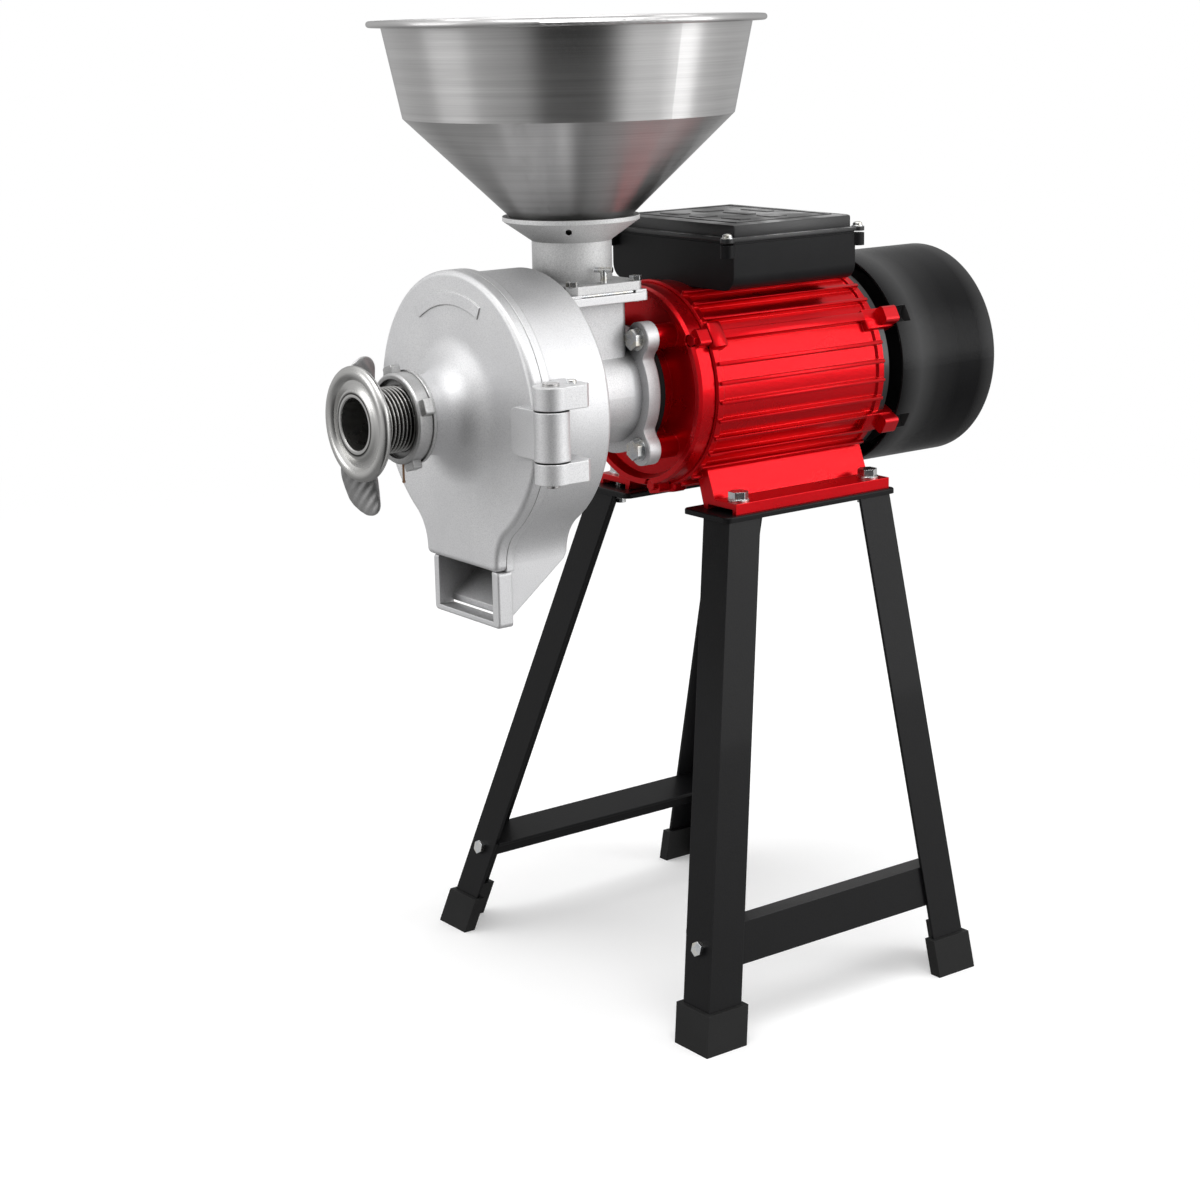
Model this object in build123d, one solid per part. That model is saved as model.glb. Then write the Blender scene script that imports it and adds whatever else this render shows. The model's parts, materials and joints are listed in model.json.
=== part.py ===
# A wet and dry grinder: a disc mill with a hopper, driven by a motor on an angle-iron stand.
# The model is laid out from the shaft axis: X to the right, Y backwards from the door's face, Z up.
# At the end every piece is moved so that the origin lies on the floor, under the middle.
from build123d import *
from math import atan2, cos, degrees, hypot, pi, radians, sin, sqrt
import os

# Clearances
contact_gap = 0.3            # between pieces that move past each other
running_fit = 0.1            # radial, between a shaft or pin and its bore
seat_gap = 0.2               # between curved faces that are seated in one another

# Door and drum
shaft_height = 443.0
drum_radius = 95.7
door_thickness = 9.0
door_bead = 3.6
outline_blend = 31.0         # concave arc between the drum and the chute
spout_half_width = 43.5
door_bottom = 107.0          # below the shaft axis
door_corner = 4.4
rim_depth = 6.0              # thick ring at the front of the housing
body_inset = 3.2             # the drum wall lies this far inside the rim
chute_inset = 5.5
casting_wall = 4.5
drum_rear = 65.0
drum_back_fillet = 3.0
chute_lip_front = 3.5
chute_bottom = 148.0
lip_half_width = 40.5
chute_rear_top = 96.0        # height of the chute's back edge below the axis
chute_rear_drop = 12.0

# Door dome and boss
boss_radius = 27.5
boss_front = 35.0
flare_radius = 24.0
door_wall = 5.0
pad_inner, pad_outer, pad_height = 72.5, 81.5, 0.8
pad_from, pad_to = 64.5, 123.5   # degrees

# Adjusting screw, lock ring and thrust bearing
screw_radius = 22.5
screw_bore = 17.7
wheel_radius = 39.1
wheel_front = 81.2
wheel_rim = 4.2
wheel_lip = 5.0
wheel_step_radius = 29.7
wheel_step_depth = 2.4
wheel_hub_depth = 4.0
thread_pitch = 3.0
screw_inner_end = 16.0
screw_end_wall = 8.0
ring_radius = 31.0
ring_depth = 11.0
ring_recess_radius = 27.0
ring_recess_depth = 3.0
ring_lug_width, ring_lug_height = 11.0, 5.0
washer_radius, washer_thickness = 32.2, 2.5
split_pin_radius, split_pin_length, split_pin_seat = 0.8, 15.0, 2.5
bearing_outer, bearing_inner, bearing_height = 17.0, 10.0, 9.0
bearing_seat_depth = 2.0
bearing_split, bearing_split_depth = 1.5, 1.2

# Hinge
hinge_x, hinge_y = 108.5, 3.8
knuckle_radius = 12.0
knuckle_gap = 1.2
middle_knuckle_bottom, middle_knuckle_top = -19.9, 12.8
upper_knuckle_height, lower_knuckle_height = 15.0, 14.0
hinge_pin_radius = 4.0
hinge_pin_head_radius, hinge_pin_head_height = 5.6, 2.0
pin_nut_radius, pin_nut_height = 4.2, 3.0
leaf_left, leaf_proud = 73.0, 4.5
bracket_rear, bracket_left, bracket_right = 30.0, 82.0, 119.5
lock_screw_radius, lock_screw_height, lock_screw_y = 3.4, 2.6, 21.0

# Latch
latch_x, latch_y, latch_z = -101.0, 32.0, -34.0
latch_rest_angle = 27.0      # swung clear of the door's fork
latch_eye_radius, latch_eye_height = 7.5, 10.0
latch_pin_radius = 3.0
latch_bolt_radius = 4.0
latch_bolt_length = 56.0
latch_lug_radius, latch_lug_height = 8.0, 6.0
fork_reach = 107.0
fork_half_height = 12.5
fork_thickness = 8.0
nut_backed_off = 1.0
latch_washer_radius, latch_washer_thickness = 9.5, 2.0
wing_hub_radius, wing_hub_length = 9.0, 15.0
wing_half_span = 57.0
wing_lean = 10.0
wing_twist = 38.0
wing_root = (13.0, 8.0)
wing_middle = (22.0, 6.0)
wing_tip = (21.0, 4.0)

# Feed barrel, throat and motor flange
barrel_radius = 38.0
barrel_bore = 31.5
flange_front, flange_thickness = 133.0, 10.0
flange_disc_radius = 42.0
flange_bolt_x, flange_bolt_z = 33.6, 39.2
flange_lug_radius = 12.0
flange_wall = 5.0
flange_thread_depth = 12.0
hopper_y = 102.0
feed_bore = 21.0
throat_half_x, throat_half_y = 27.0, 29.0
throat_corner = 6.0
lower_flange_top, lower_flange_thickness = 73.2, 5.6
lower_flange_half = (44.0, 34.0)
base_flange_half = (42.5, 32.5)
base_flange_thickness = 6.0
base_flange_chamfer = 6.0
land_height = 2.0
base_bolt_x, base_bolt_y = 37.2, 27.3
gate_half_width = 22.7
gate_thickness = 1.4
gate_recess = 1.5            # the gate's end lies this far inside the flange
gate_travel = 46.0
gate_handle = 12.0
gate_handle_drop = 10.0

# Hopper base and hopper
neck_radius = 28.0
cup_rim_radius, cup_rim_height, cup_foot_height = 48.0, 126.0, 109.0
set_hole_radius = 2.2
sheet = 1.2
hopper_rim_radius, hopper_rim_height = 137.0, 260.0
hopper_wall_top_radius = 127.5
hopper_knee_radius, hopper_knee_height = 114.5, 194.5
hopper_seat_radius = 43.0
spout_length = 10.0
hopper_bead = 2.2

# Grinding set
disc_radius = 75.0
disc_eye_radius = 34.0
disc_thickness = 8.5
disc_gap = 2.5
furrow_count = 24
furrow_depth, furrow_width = 2.2, 3.6
disc_screw_circle = 62.0
disc_screw_radius, disc_screw_head = 3.0, 6.0
carrier_radius, carrier_thickness = 70.0, 7.0
auger_hub_radius = 15.0
auger_radius = 29.5
auger_lobes = 4
auger_twist = 150.0
auger_rear = 126.0
auger_foot = 4.0             # the flutes start this deep in the disc's eye
rotor_nose_radius = 16.0
wiper_width, wiper_thickness, wiper_reach = 10.0, 2.5, 9.0
spring_wire, spring_radius, spring_turns = 1.3, 7.6, 5
auger_bore_end = 2.0         # behind the carrier's back face

# Motor
shaft_radius = 10.0
shaft_front = 78.0
key_size = 5.0
key_front, key_rear = 92.0, 118.0
seal_radius, seal_thickness = 45.0, 5.0
shield_front, shield_rear = 156.5, 170.6
shield_radius = 72.8
shield_hub_radius = 34.0
shield_boss_radius = 9.0
bearing_radius, bearing_width = 23.5, 14.0
stack_radius, bore_radius, rotor_radius = 65.7, 66.0, 40.0
rotor_bore = 15.0
air_gap = 0.5
stack_front, stack_rear = 196.0, 303.0
winding_overhang = 16.0
bearing_inset = 6.0          # front bearing behind the shield's face
rear_bearing_reach = 4.0     # rear bearing behind the frame's end
body_front, body_rear = 171.0, 331.0
body_radius = 75.0
rib_radius = 79.0
rib_count = 24
rib_width = 3.2
border_width = 6.0
panel_depth = 4.0
ear_angles = (32.0, 148.0, -80.0)
ear_radius, ear_circle = 6.5, 72.5
ear_length = 16.0
shield_ear_length = 9.6
foot_base = 87.0             # below the shaft axis
foot_thickness = 8.0
foot_hole_x = 70.0
foot_hole_front, foot_hole_rear = 193.2, 318.2
foot_outer, foot_inner = 81.0, 45.0
foot_front, foot_end = 182.0, 330.0
foot_web_top_x, foot_web_top_z = 42.0, 50.0
foot_hollow = 3.6
rear_shield_rear = 339.0
lug_angles = (30.0, 150.0, -30.0, -150.0)
lug_radius = 79.0
fan_cover_front, fan_cover_rear = 344.0, 441.5
fan_cover_radius = 80.7
fan_cover_wall = 1.5
pocket_radius = 6.5
fan_radius, fan_front, fan_depth = 68.0, 360.0, 26.0
fan_blades = 8

# Capacitor box
box_half_x = 60.0
box_front, box_rear = 201.0, 313.0
box_bottom, box_top = 72.0, 103.0
box_wall = 3.0
box_edge = 11.0
box_floor_top = 84.5
gasket_thickness = 1.5
lid_half_x = 62.5
lid_overhang = 2.0
lid_lip = 3.0
lid_top = 117.0
box_lug_radius = 5.0
box_screw_radius = 2.0
box_lug_x = 57.0
box_lug_offset = 4.0
neck_half_x, neck_half_y = 20.0, 22.0

# Stand
plate_thickness = 4.0
plate_inner, plate_outer = 33.0, 84.0
plate_front, plate_rear = 171.0, 335.0
angle_width, angle_thickness = 29.0, 2.5
leg_top_x, leg_top_front, leg_top_rear = 83.0, 174.0, 328.8
leg_foot_x, leg_foot_front, leg_foot_rear = 166.0, 82.0, 335.0
brace_top = 363.0            # below the shaft axis
brace_tab = 22.0
boot_wall, boot_height, boot_floor = 3.5, 27.0, 3.0

# Fasteners: radius of the shank, width of the head across its corners, height of the head
foot_bolt = (4.0, 7.5, 5.3)
flange_bolt = (4.0, 7.5, 5.3)
base_bolt = (2.5, 4.6, 3.4)
small_screw = (2.0, 3.6, 2.2)
tie_bolt = (2.5, 4.4, 3.0)
brace_bolt = (3.0, 5.5, 3.5)
foot_washer_radius, thin_washer = 8.2, 1.5
nut_height = 6.5
clamp_screw_radius, clamp_bar_radius, clamp_bar_length = 2.4, 1.9, 13.0
clamp_screw_x, clamp_screw_top = 36.6, 90.5

# Places worked out from the sizes above
housing_front = door_thickness + contact_gap
overall_middle = (fan_cover_rear - wheel_front) / 2
base_bottom = lower_flange_top + land_height
base_top = base_bottom + base_flange_thickness
disc_back = drum_rear - casting_wall
fixed_disc_front = disc_back - disc_thickness
turning_disc_back = fixed_disc_front - disc_gap
turning_disc_front = turning_disc_back - disc_thickness
carrier_front = turning_disc_front - carrier_thickness
bearing_start = screw_inner_end - bearing_seat_depth + contact_gap
nose_front = bearing_start + bearing_height + contact_gap
flange_rear = flange_front + flange_thickness
seal_rear = flange_rear + seal_thickness
front_bearing_front = seal_rear + bearing_inset
front_bearing_rear = front_bearing_front + bearing_width
rear_bearing_front = body_rear + rear_bearing_reach - bearing_width
tie_bolt_seat = shield_rear - shield_ear_length
plate_top = -foot_base
plate_bottom = plate_top - plate_thickness
floor = -shaft_height

pieces = {}


def block(x0, x1, y0, y1, z0, z1):
    """Box between two corners."""
    centre = Pos((x0 + x1) / 2, (y0 + y1) / 2, (z0 + z1) / 2)
    return centre * Box(x1 - x0, y1 - y0, z1 - z0)


def rod_x(radius, x0, x1, y=0.0, z=0.0):
    return Pos((x0 + x1) / 2, y, z) * Rot(0, 90, 0) * Cylinder(radius, x1 - x0)


def rod_y(radius, y0, y1, x=0.0, z=0.0):
    return Pos(x, (y0 + y1) / 2, z) * Rot(90, 0, 0) * Cylinder(radius, y1 - y0)


def rod_z(radius, z0, z1, x=0.0, y=0.0):
    return Pos(x, y, (z0 + z1) / 2) * Cylinder(radius, z1 - z0)


def tube_y(outer, inner, y0, y1, x=0.0, z=0.0):
    return rod_y(outer, y0, y1, x, z) - rod_y(inner, y0, y1, x, z)


def turned_y(*points):
    """Profile of (radius, y) points turned about the shaft axis."""
    return revolve(make_face(Polyline(*points, close=True)), Axis.Y)


def turned_z(*points, y=0.0):
    """Profile of (radius, z) points turned about a vertical axis."""
    face = make_face(Plane.XZ * Polyline(*points, close=True))
    return Pos(0, y, 0) * revolve(face, Axis.Z)


def slab_y(sketch, y0, y1):
    """Sketch of X and Z, as thick as from y0 to y1."""
    plane = Plane(origin=(0, y1, 0), x_dir=(1, 0, 0), z_dir=(0, -1, 0))
    return extrude(plane * sketch, amount=y1 - y0)


def slab_x(points, x0, x1):
    """Polygon of (y, z) points, as wide as from x0 to x1."""
    plane = Plane(origin=(x0, 0, 0), x_dir=(0, 1, 0), z_dir=(1, 0, 0))
    return extrude(plane * make_face(Polyline(*points, close=True)), amount=x1 - x0)


def aimed(shape, origin, direction):
    """Shape built up from the origin along Z, placed at a point and turned along a direction."""
    return Plane(origin=origin, z_dir=direction).location * shape


def hex_bolt(size, length):
    """Hexagon bolt: the head stands on Z = 0 and the shank reaches down."""
    shank, corner, head = size
    top = extrude(RegularPolygon(corner, 6), amount=head)
    top = top & Cylinder(corner * 0.985, head * 2)
    return top + rod_z(shank, -length, 0)


def round_screw(size, length):
    """Round-headed screw: the head stands on Z = 0 and the shank reaches down."""
    shank, head_radius, head = size
    top = rod_z(head_radius, 0, head)
    top = fillet(top.edges().group_by(Axis.Z)[-1], head * 0.6)
    return top + rod_z(shank, -length, 0)


def group(shapes):
    """Separate solids of one node."""
    return Compound(children=[Part() + shape for shape in shapes])


def on_circle(radius, angle):
    return radius * cos(radians(angle)), radius * sin(radians(angle))


def drum_outline(radius, half_width, blend, bottom, corner=0.0):
    """Round drum that flows into a straight-sided chute, as X and Z."""
    centre_x = half_width + blend
    centre_z = -sqrt((radius + blend) ** 2 - centre_x ** 2)
    share = radius / (radius + blend)
    touch = (centre_x * share, centre_z * share)
    out_angle = atan2(-centre_z, -centre_x)
    middle_angle = (out_angle + pi) / 2
    arc_middle = (centre_x + blend * cos(middle_angle), centre_z + blend * sin(middle_angle))
    left = [(-x, z) for x, z in (touch, arc_middle, (half_width, centre_z))]
    edges = [
        Line((half_width, -bottom), (half_width, centre_z)),
        ThreePointArc((half_width, centre_z), arc_middle, touch),
        ThreePointArc(touch, (0, radius), left[0]),
        ThreePointArc(left[0], left[1], left[2]),
        Line(left[2], (-half_width, -bottom)),
        Line((-half_width, -bottom), (half_width, -bottom)),
    ]
    face = make_face(edges)
    if corner:
        face = fillet(face.vertices().group_by(Axis.Y)[0], corner)
    return face


def drum_wall(inset):
    """Outline of the drum's wall, set in from its outer face, open to the chute's mouth."""
    return drum_outline(
        drum_radius - body_inset - inset,
        spout_half_width - chute_inset - inset,
        outline_blend + body_inset + inset,
        chute_bottom - inset,
    )


def below_chute(inset):
    """Everything under the sloping bottom of the chute."""
    rear = drum_rear - inset
    low = chute_bottom - 1.5 - inset
    top = chute_rear_top + chute_rear_drop - inset
    slope = (low - top) / (drum_rear - chute_rear_drop / 2 - housing_front)
    corner_y = rear - chute_rear_drop / 3
    corner_z = low - slope * (corner_y - housing_front)
    far, deep = drum_rear * 2, chute_bottom * 2
    line = [(0, -low), (housing_front, -low), (corner_y, -corner_z), (rear, -corner_z + chute_rear_drop / 2)]
    return slab_x(line + [(far, -corner_z + chute_rear_drop / 2), (far, -deep), (0, -deep)], -drum_radius,
                  drum_radius)


def grinding_housing():
    inside = casting_wall
    lip_outline = Pos(0, -(door_bottom + contact_gap + chute_bottom) / 2) * RectangleRounded(
        2 * lip_half_width, chute_bottom - door_bottom - contact_gap, door_corner - 1)
    shell = slab_y(drum_wall(0), housing_front, drum_rear)
    shell = fillet(shell.edges().group_by(Axis.Y)[-1], drum_back_fillet) - below_chute(0)
    rim = slab_y(drum_outline(drum_radius, spout_half_width, outline_blend, door_bottom + contact_gap),
                 housing_front, housing_front + rim_depth)
    lip = slab_y(lip_outline, chute_lip_front, housing_front + rim_depth)
    lip = fillet(lip.edges().group_by(Axis.Y)[0], 1.8)
    body = shell + rim + lip
    body += rod_y(barrel_radius, drum_rear - casting_wall, flange_rear)
    column = Pos(0, hopper_y - 1.0) * RectangleRounded(2 * throat_half_x, 2 * throat_half_y, throat_corner)
    body += extrude(Plane.XY * column, amount=lower_flange_top)
    body += feed_flange() + motor_flange() + hinge_brackets() + latch_lugs()
    cavity = slab_y(drum_wall(inside), chute_lip_front - 1, disc_back) - below_chute(inside)
    mouth = chute_bottom - inside
    cavity += block(-(spout_half_width - chute_inset - inside), spout_half_width - chute_inset - inside,
                    0, housing_front + rim_depth, -mouth, -door_bottom)
    body -= cavity
    body -= rod_y(barrel_bore, 0, flange_rear - flange_wall)
    body -= rod_y(shaft_radius + 1.5, 0, flange_rear + 1)
    body -= rod_z(feed_bore, 0, lower_flange_top + land_height + 1, 0, hopper_y)
    for x in (-base_bolt_x, base_bolt_x):
        for y in (hopper_y - base_bolt_y, hopper_y + base_bolt_y):
            body -= rod_z(base_bolt[0], lower_flange_top - 2 * lower_flange_thickness, base_bottom + 1, x, y)
    for x in (-flange_bolt_x, flange_bolt_x):
        for z in (-flange_bolt_z, flange_bolt_z):
            body -= rod_y(flange_bolt[0], flange_front - 1, flange_rear + 1, x, z)
    for angle in (90, 210, 330):
        x, z = on_circle(disc_screw_circle, angle)
        body -= rod_y(disc_screw_radius, disc_back - 1, drum_rear - 1.5, x, z)
    return body


def feed_flange():
    """Square flange under the hopper base, with two raised lands beside the gate's slot."""
    half_x, half_y = lower_flange_half
    outline = Pos(0, hopper_y) * RectangleRounded(2 * half_x, 2 * half_y, 4)
    plate = extrude(Plane.XY.offset(lower_flange_top - lower_flange_thickness) * outline,
                    amount=lower_flange_thickness)
    slot = gate_half_width + contact_gap
    base_x, base_y = base_flange_half
    for side in (-1, 1):
        near, far = hopper_y + side * slot, hopper_y + side * base_y
        plate += block(-base_x, base_x, min(near, far), max(near, far), lower_flange_top, base_bottom)
    return plate


def motor_flange():
    outline = Circle(flange_disc_radius) + Rectangle(2 * flange_bolt_x, 2 * (flange_bolt_z + 3))
    for x in (-flange_bolt_x, flange_bolt_x):
        for z in (-flange_bolt_z, flange_bolt_z):
            outline += Pos(x, z) * Circle(flange_lug_radius)
    flange = slab_y(outline, flange_front, flange_rear)
    return flange


def hinge_brackets():
    """Two knuckles that stand on brackets from the drum."""
    brackets = Part()
    upper = middle_knuckle_top + knuckle_gap
    lower = middle_knuckle_bottom - knuckle_gap
    for low, high in ((upper, upper + upper_knuckle_height), (lower - lower_knuckle_height, lower)):
        knuckle = rod_z(knuckle_radius, low, high, hinge_x, hinge_y)
        arm = block(bracket_left, bracket_right, hinge_y + knuckle_radius * 0.55, bracket_rear, low, high)
        arm = chamfer(arm.edges().filter_by(Axis.Z).group_by(Axis.Y)[-1].sort_by(Axis.X)[-1], 5.0)
        link = block(hinge_x - knuckle_radius * 0.8, bracket_right, hinge_y, hinge_y + knuckle_radius,
                     low, high)
        link &= rod_z(knuckle_radius * 1.6, low, high, hinge_x, hinge_y + knuckle_radius)
        brackets += knuckle + arm + link
    brackets -= rod_z(hinge_pin_radius + running_fit, -drum_radius, drum_radius, hinge_x, hinge_y)
    return brackets


def latch_lugs():
    lugs = Part()
    near = latch_eye_height / 2 + contact_gap
    for low, high in ((near, near + latch_lug_height), (-near - latch_lug_height, -near)):
        lugs += rod_z(latch_lug_radius, latch_z + low, latch_z + high, latch_x, latch_y)
        lugs += block(latch_x, -drum_radius * 0.85, latch_y - latch_lug_radius, latch_y + latch_lug_radius,
                      latch_z + low, latch_z + high)
    lugs -= rod_z(latch_pin_radius, latch_z - drum_radius, latch_z + drum_radius, latch_x, latch_y)
    return lugs


def front_door():
    """Cast door: flat plate with a beaded edge, flared up to the screw's boss, hollow behind."""
    plate = slab_y(drum_outline(drum_radius, spout_half_width, outline_blend, door_bottom, door_corner),
                   0, door_thickness)
    plate = fillet(plate.edges().group_by(Axis.Y)[0], door_bead)
    flare_foot = boss_radius + flare_radius
    flare_mid = (flare_foot - flare_radius * sin(pi / 4), -flare_radius + flare_radius * cos(pi / 4))
    outline = [
        Line((0, 1), (flare_foot + 4, 1)),
        Line((flare_foot + 4, 1), (flare_foot + 4, 0)),
        Line((flare_foot + 4, 0), (flare_foot, 0)),
        ThreePointArc((flare_foot, 0), flare_mid, (boss_radius, -flare_radius)),
        Line((boss_radius, -flare_radius), (boss_radius, -boss_front)),
        Line((boss_radius, -boss_front), (0, -boss_front)),
        Line((0, -boss_front), (0, 1)),
    ]
    door = plate + revolve(make_face(outline), Axis.Y)
    door -= turned_y((boss_radius, door_thickness + 1), (boss_radius, -6), (boss_radius + 5, -6),
                     (flare_foot, door_wall), (drum_radius - 14, door_wall),
                     (drum_radius - 14, door_thickness + 1))
    pad = Circle(pad_outer) - Circle(pad_inner)
    reach = 2 * pad_outer
    first, last = on_circle(reach, pad_from), on_circle(reach, pad_to)
    pad &= make_face(Polyline((0, 0), first, (0, reach * 2), last, close=True))
    door += slab_y(pad, -pad_height, 1)
    door += hinge_leaf() + latch_fork()
    door -= rod_y(screw_radius + running_fit, -boss_front - 1, door_thickness + 1)
    door -= rod_z(hinge_pin_radius + running_fit, -drum_radius, drum_radius, hinge_x, hinge_y)
    return door


def hinge_leaf():
    low, high = middle_knuckle_bottom, middle_knuckle_top
    leaf = block(leaf_left, hinge_x, -leaf_proud, door_thickness - 1, low, high)
    leaf = fillet(leaf.edges().filter_by(Axis.Y).group_by(Axis.X)[0], 7.0)
    return leaf + rod_z(knuckle_radius, low, high, hinge_x, hinge_y)


def latch_fork():
    """Open fork at the door's free edge that the latch bolt swings into."""
    slot = latch_bolt_radius + 0.6
    fork = block(-fork_reach, -drum_radius * 0.86, 0.5, 0.5 + fork_thickness,
                 latch_z - fork_half_height, latch_z + fork_half_height)
    fork = fillet(fork.edges().filter_by(Axis.Y).group_by(Axis.X)[0], 4.0)
    fork -= block(-fork_reach - 1, latch_x, -1, fork_thickness + 2, latch_z - slot, latch_z + slot)
    return fork - rod_y(slot, -1, fork_thickness + 2, latch_x, latch_z)


def adjusting_screw():
    """Handwheel and hollow screw, cast in one; the thread's outer diameter is kept plain."""
    front = -wheel_front
    hub_back = front + wheel_lip + wheel_hub_depth
    screw = turned_y(
        (screw_bore, front + wheel_step_depth + 2),
        (wheel_step_radius, front + wheel_step_depth + 2),
        (wheel_step_radius + 1.5, front + wheel_step_depth),
        (wheel_radius - wheel_lip - 0.5, front + wheel_step_depth - 0.6),
        (wheel_radius - wheel_lip + 1, front),
        (wheel_radius - 1.5, front),
        (wheel_radius, front + 1.5),
        (wheel_radius, front + wheel_rim - 1),
        (wheel_radius - 1.5, front + wheel_rim),
        (screw_radius + 3, front + wheel_rim + 3),
        (screw_radius, hub_back),
        (screw_radius, screw_inner_end),
        (0, screw_inner_end),
        (0, screw_inner_end - screw_end_wall),
        (screw_bore, screw_inner_end - screw_end_wall),
    )
    recess = bearing_outer + seat_gap
    return screw - rod_y(recess, screw_inner_end - bearing_seat_depth, screw_inner_end + 1)


def thrust_bearing():
    bearing = tube_y(bearing_outer, bearing_inner, bearing_start, bearing_start + bearing_height)
    middle = bearing_start + bearing_height / 2
    return bearing - tube_y(bearing_outer + 1, bearing_outer - bearing_split_depth,
                            middle - bearing_split / 2, middle + bearing_split / 2)


def lock_ring():
    rear = -boss_front - washer_thickness - contact_gap
    front = rear - ring_depth
    ring = rod_y(ring_radius, front, rear)
    ring = fillet(ring.edges().group_by(Axis.Y)[0], 2.0)
    for angle in (20.0, 110.0, 200.0, 290.0):
        lug = block(ring_radius - 4, ring_radius + ring_lug_height, front + 3, rear - 1,
                    -ring_lug_width / 2, ring_lug_width / 2)
        lug = fillet(lug.edges().filter_by(Axis.Y).group_by(Axis.X)[-1], 1.5)
        ring += Rot(0, -angle, 0) * lug
    ring -= rod_y(ring_recess_radius, front - 1, front + ring_recess_depth)
    ring -= rod_z(split_pin_radius, -ring_radius - 1, -(ring_radius - split_pin_seat), 0, (front + rear) / 2)
    return ring - rod_y(screw_radius + running_fit, front - 1, rear + 1)


def lock_washer():
    rear = -boss_front - seat_gap
    return tube_y(washer_radius, screw_radius + running_fit, rear - washer_thickness, rear)


def split_pin():
    """Wire pin that hangs from the lock ring."""
    y = -boss_front - washer_thickness - contact_gap - ring_depth / 2
    top = -(ring_radius - split_pin_seat)
    pin = rod_z(split_pin_radius, top - split_pin_length, top, 0, y)
    return pin + Pos(0, y, top - split_pin_length) * Sphere(split_pin_radius * 1.5)


def hinge_pin():
    upper = middle_knuckle_top + knuckle_gap + upper_knuckle_height
    lower = middle_knuckle_bottom - knuckle_gap - lower_knuckle_height
    pin = rod_z(hinge_pin_radius, lower, upper, hinge_x, hinge_y)
    pin += rod_z(hinge_pin_head_radius, upper, upper + hinge_pin_head_height, hinge_x, hinge_y)
    return pin + rod_z(pin_nut_radius, lower - pin_nut_height, lower, hinge_x, hinge_y)


def pin_lock_screw():
    top = middle_knuckle_top + knuckle_gap + upper_knuckle_height
    screw = rod_z(lock_screw_radius, top, top + lock_screw_height, hinge_x - 1, lock_screw_y)
    return fillet(screw.edges().group_by(Axis.Z)[-1], 1.2)


def swung(shape):
    """Latch piece built along -Y from the latch pin, swung out and put in its place."""
    return Pos(latch_x, latch_y, latch_z) * Rot(0, 0, -latch_rest_angle) * shape


def latch_bolt():
    half = latch_eye_height / 2
    bolt = rod_z(latch_eye_radius, -half, half) + rod_y(latch_bolt_radius, -latch_bolt_length, 0)
    return swung(bolt - rod_z(latch_pin_radius + running_fit, -half - 1, half + 1))


def latch_pin():
    reach = latch_eye_height / 2 + contact_gap + latch_lug_height
    pin = rod_z(latch_pin_radius, -reach - 1.5, reach) + rod_z(latch_pin_radius + 2, reach, reach + 2)
    return Pos(latch_x, latch_y, latch_z) * pin


# Distance of the washer's inner face from the latch pin
washer_back = latch_y - 0.5 + nut_backed_off
hub_back = washer_back + latch_washer_thickness + contact_gap


def latch_washer():
    return swung(tube_y(latch_washer_radius, latch_bolt_radius + running_fit,
                        -washer_back - latch_washer_thickness, -washer_back))


def wing(side):
    """One twisted wing, from its root at the hub to its rounded tip."""
    stations = ((0.0, wing_root, 0.0), (0.5, wing_middle, 0.6), (0.93, wing_tip, 1.0))
    start = wing_hub_radius * 0.55
    reach = wing_half_span - start
    sections = []
    for share, (depth, width), turn in stations:
        plane = Plane.XY.offset(start + reach * share).rotated((0, 0, side * wing_twist * turn))
        sections.append(plane * RectangleRounded(width, depth, width * 0.45))
    blade = loft(sections)
    tip = blade.edges().group_by(Axis.Z)[-1]
    blade = fillet(tip, wing_tip[1] * 0.3)
    return blade


def wing_nut():
    middle = hub_back + wing_hub_length / 2
    hub = rod_y(wing_hub_radius, -hub_back - wing_hub_length, -hub_back)
    hub = fillet(hub.edges().group_by(Axis.Y)[0], 2.0)
    upper = wing(1)
    lower = Rot(180, 0, 0) * wing(1)
    wings = Rot(0, wing_lean, 0) * (upper + lower)
    nut = hub + Pos(0, -middle, 0) * wings
    return swung(nut - rod_y(latch_bolt_radius + running_fit, -hub_back - wing_hub_length - 1, 0))


def furrow(inner, outer, angle, face_y, side):
    """One slanting groove in a disc's face."""
    groove = block(inner, outer, -furrow_depth, furrow_depth, -furrow_width / 2, furrow_width / 2)
    groove = Pos(0, face_y, 0) * Rot(0, -angle, 0) * Pos(0, 0, side * 9.0) * groove
    return groove


def grinding_disc(front, face_y, side):
    """Steel ring with a bevelled eye and a ring of furrows in its working face."""
    disc = tube_y(disc_radius, disc_eye_radius, front, front + disc_thickness)
    eye = [edge for edge in disc.edges().filter_by(GeomType.CIRCLE)
           if abs(edge.center().Y - face_y) < 0.01 and edge.radius < disc_radius - 1]
    disc = chamfer(eye, 3.5)
    grooves = [furrow(disc_eye_radius - 6, disc_radius + 2, 360 / furrow_count * i, face_y, side)
               for i in range(furrow_count)]
    disc -= Part() + grooves
    return disc


def fixed_disc():
    disc = grinding_disc(fixed_disc_front, fixed_disc_front, 1)
    for angle in (90, 210, 330):
        x, z = on_circle(disc_screw_circle, angle)
        disc -= rod_y(disc_screw_radius, fixed_disc_front - 1, disc_back + 1, x, z)
        disc -= rod_y(disc_screw_head, fixed_disc_front - 1, fixed_disc_front + 4, x, z)
    return disc


def fixed_disc_screws():
    screws = []
    head_front = fixed_disc_front + 1.0
    for angle in (90, 210, 330):
        x, z = on_circle(disc_screw_circle, angle)
        screws.append(rod_y(disc_screw_head, head_front, fixed_disc_front + 4, x, z)
                      + rod_y(disc_screw_radius, fixed_disc_front + 4, drum_rear - 1.5, x, z))
    return group(screws)


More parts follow.
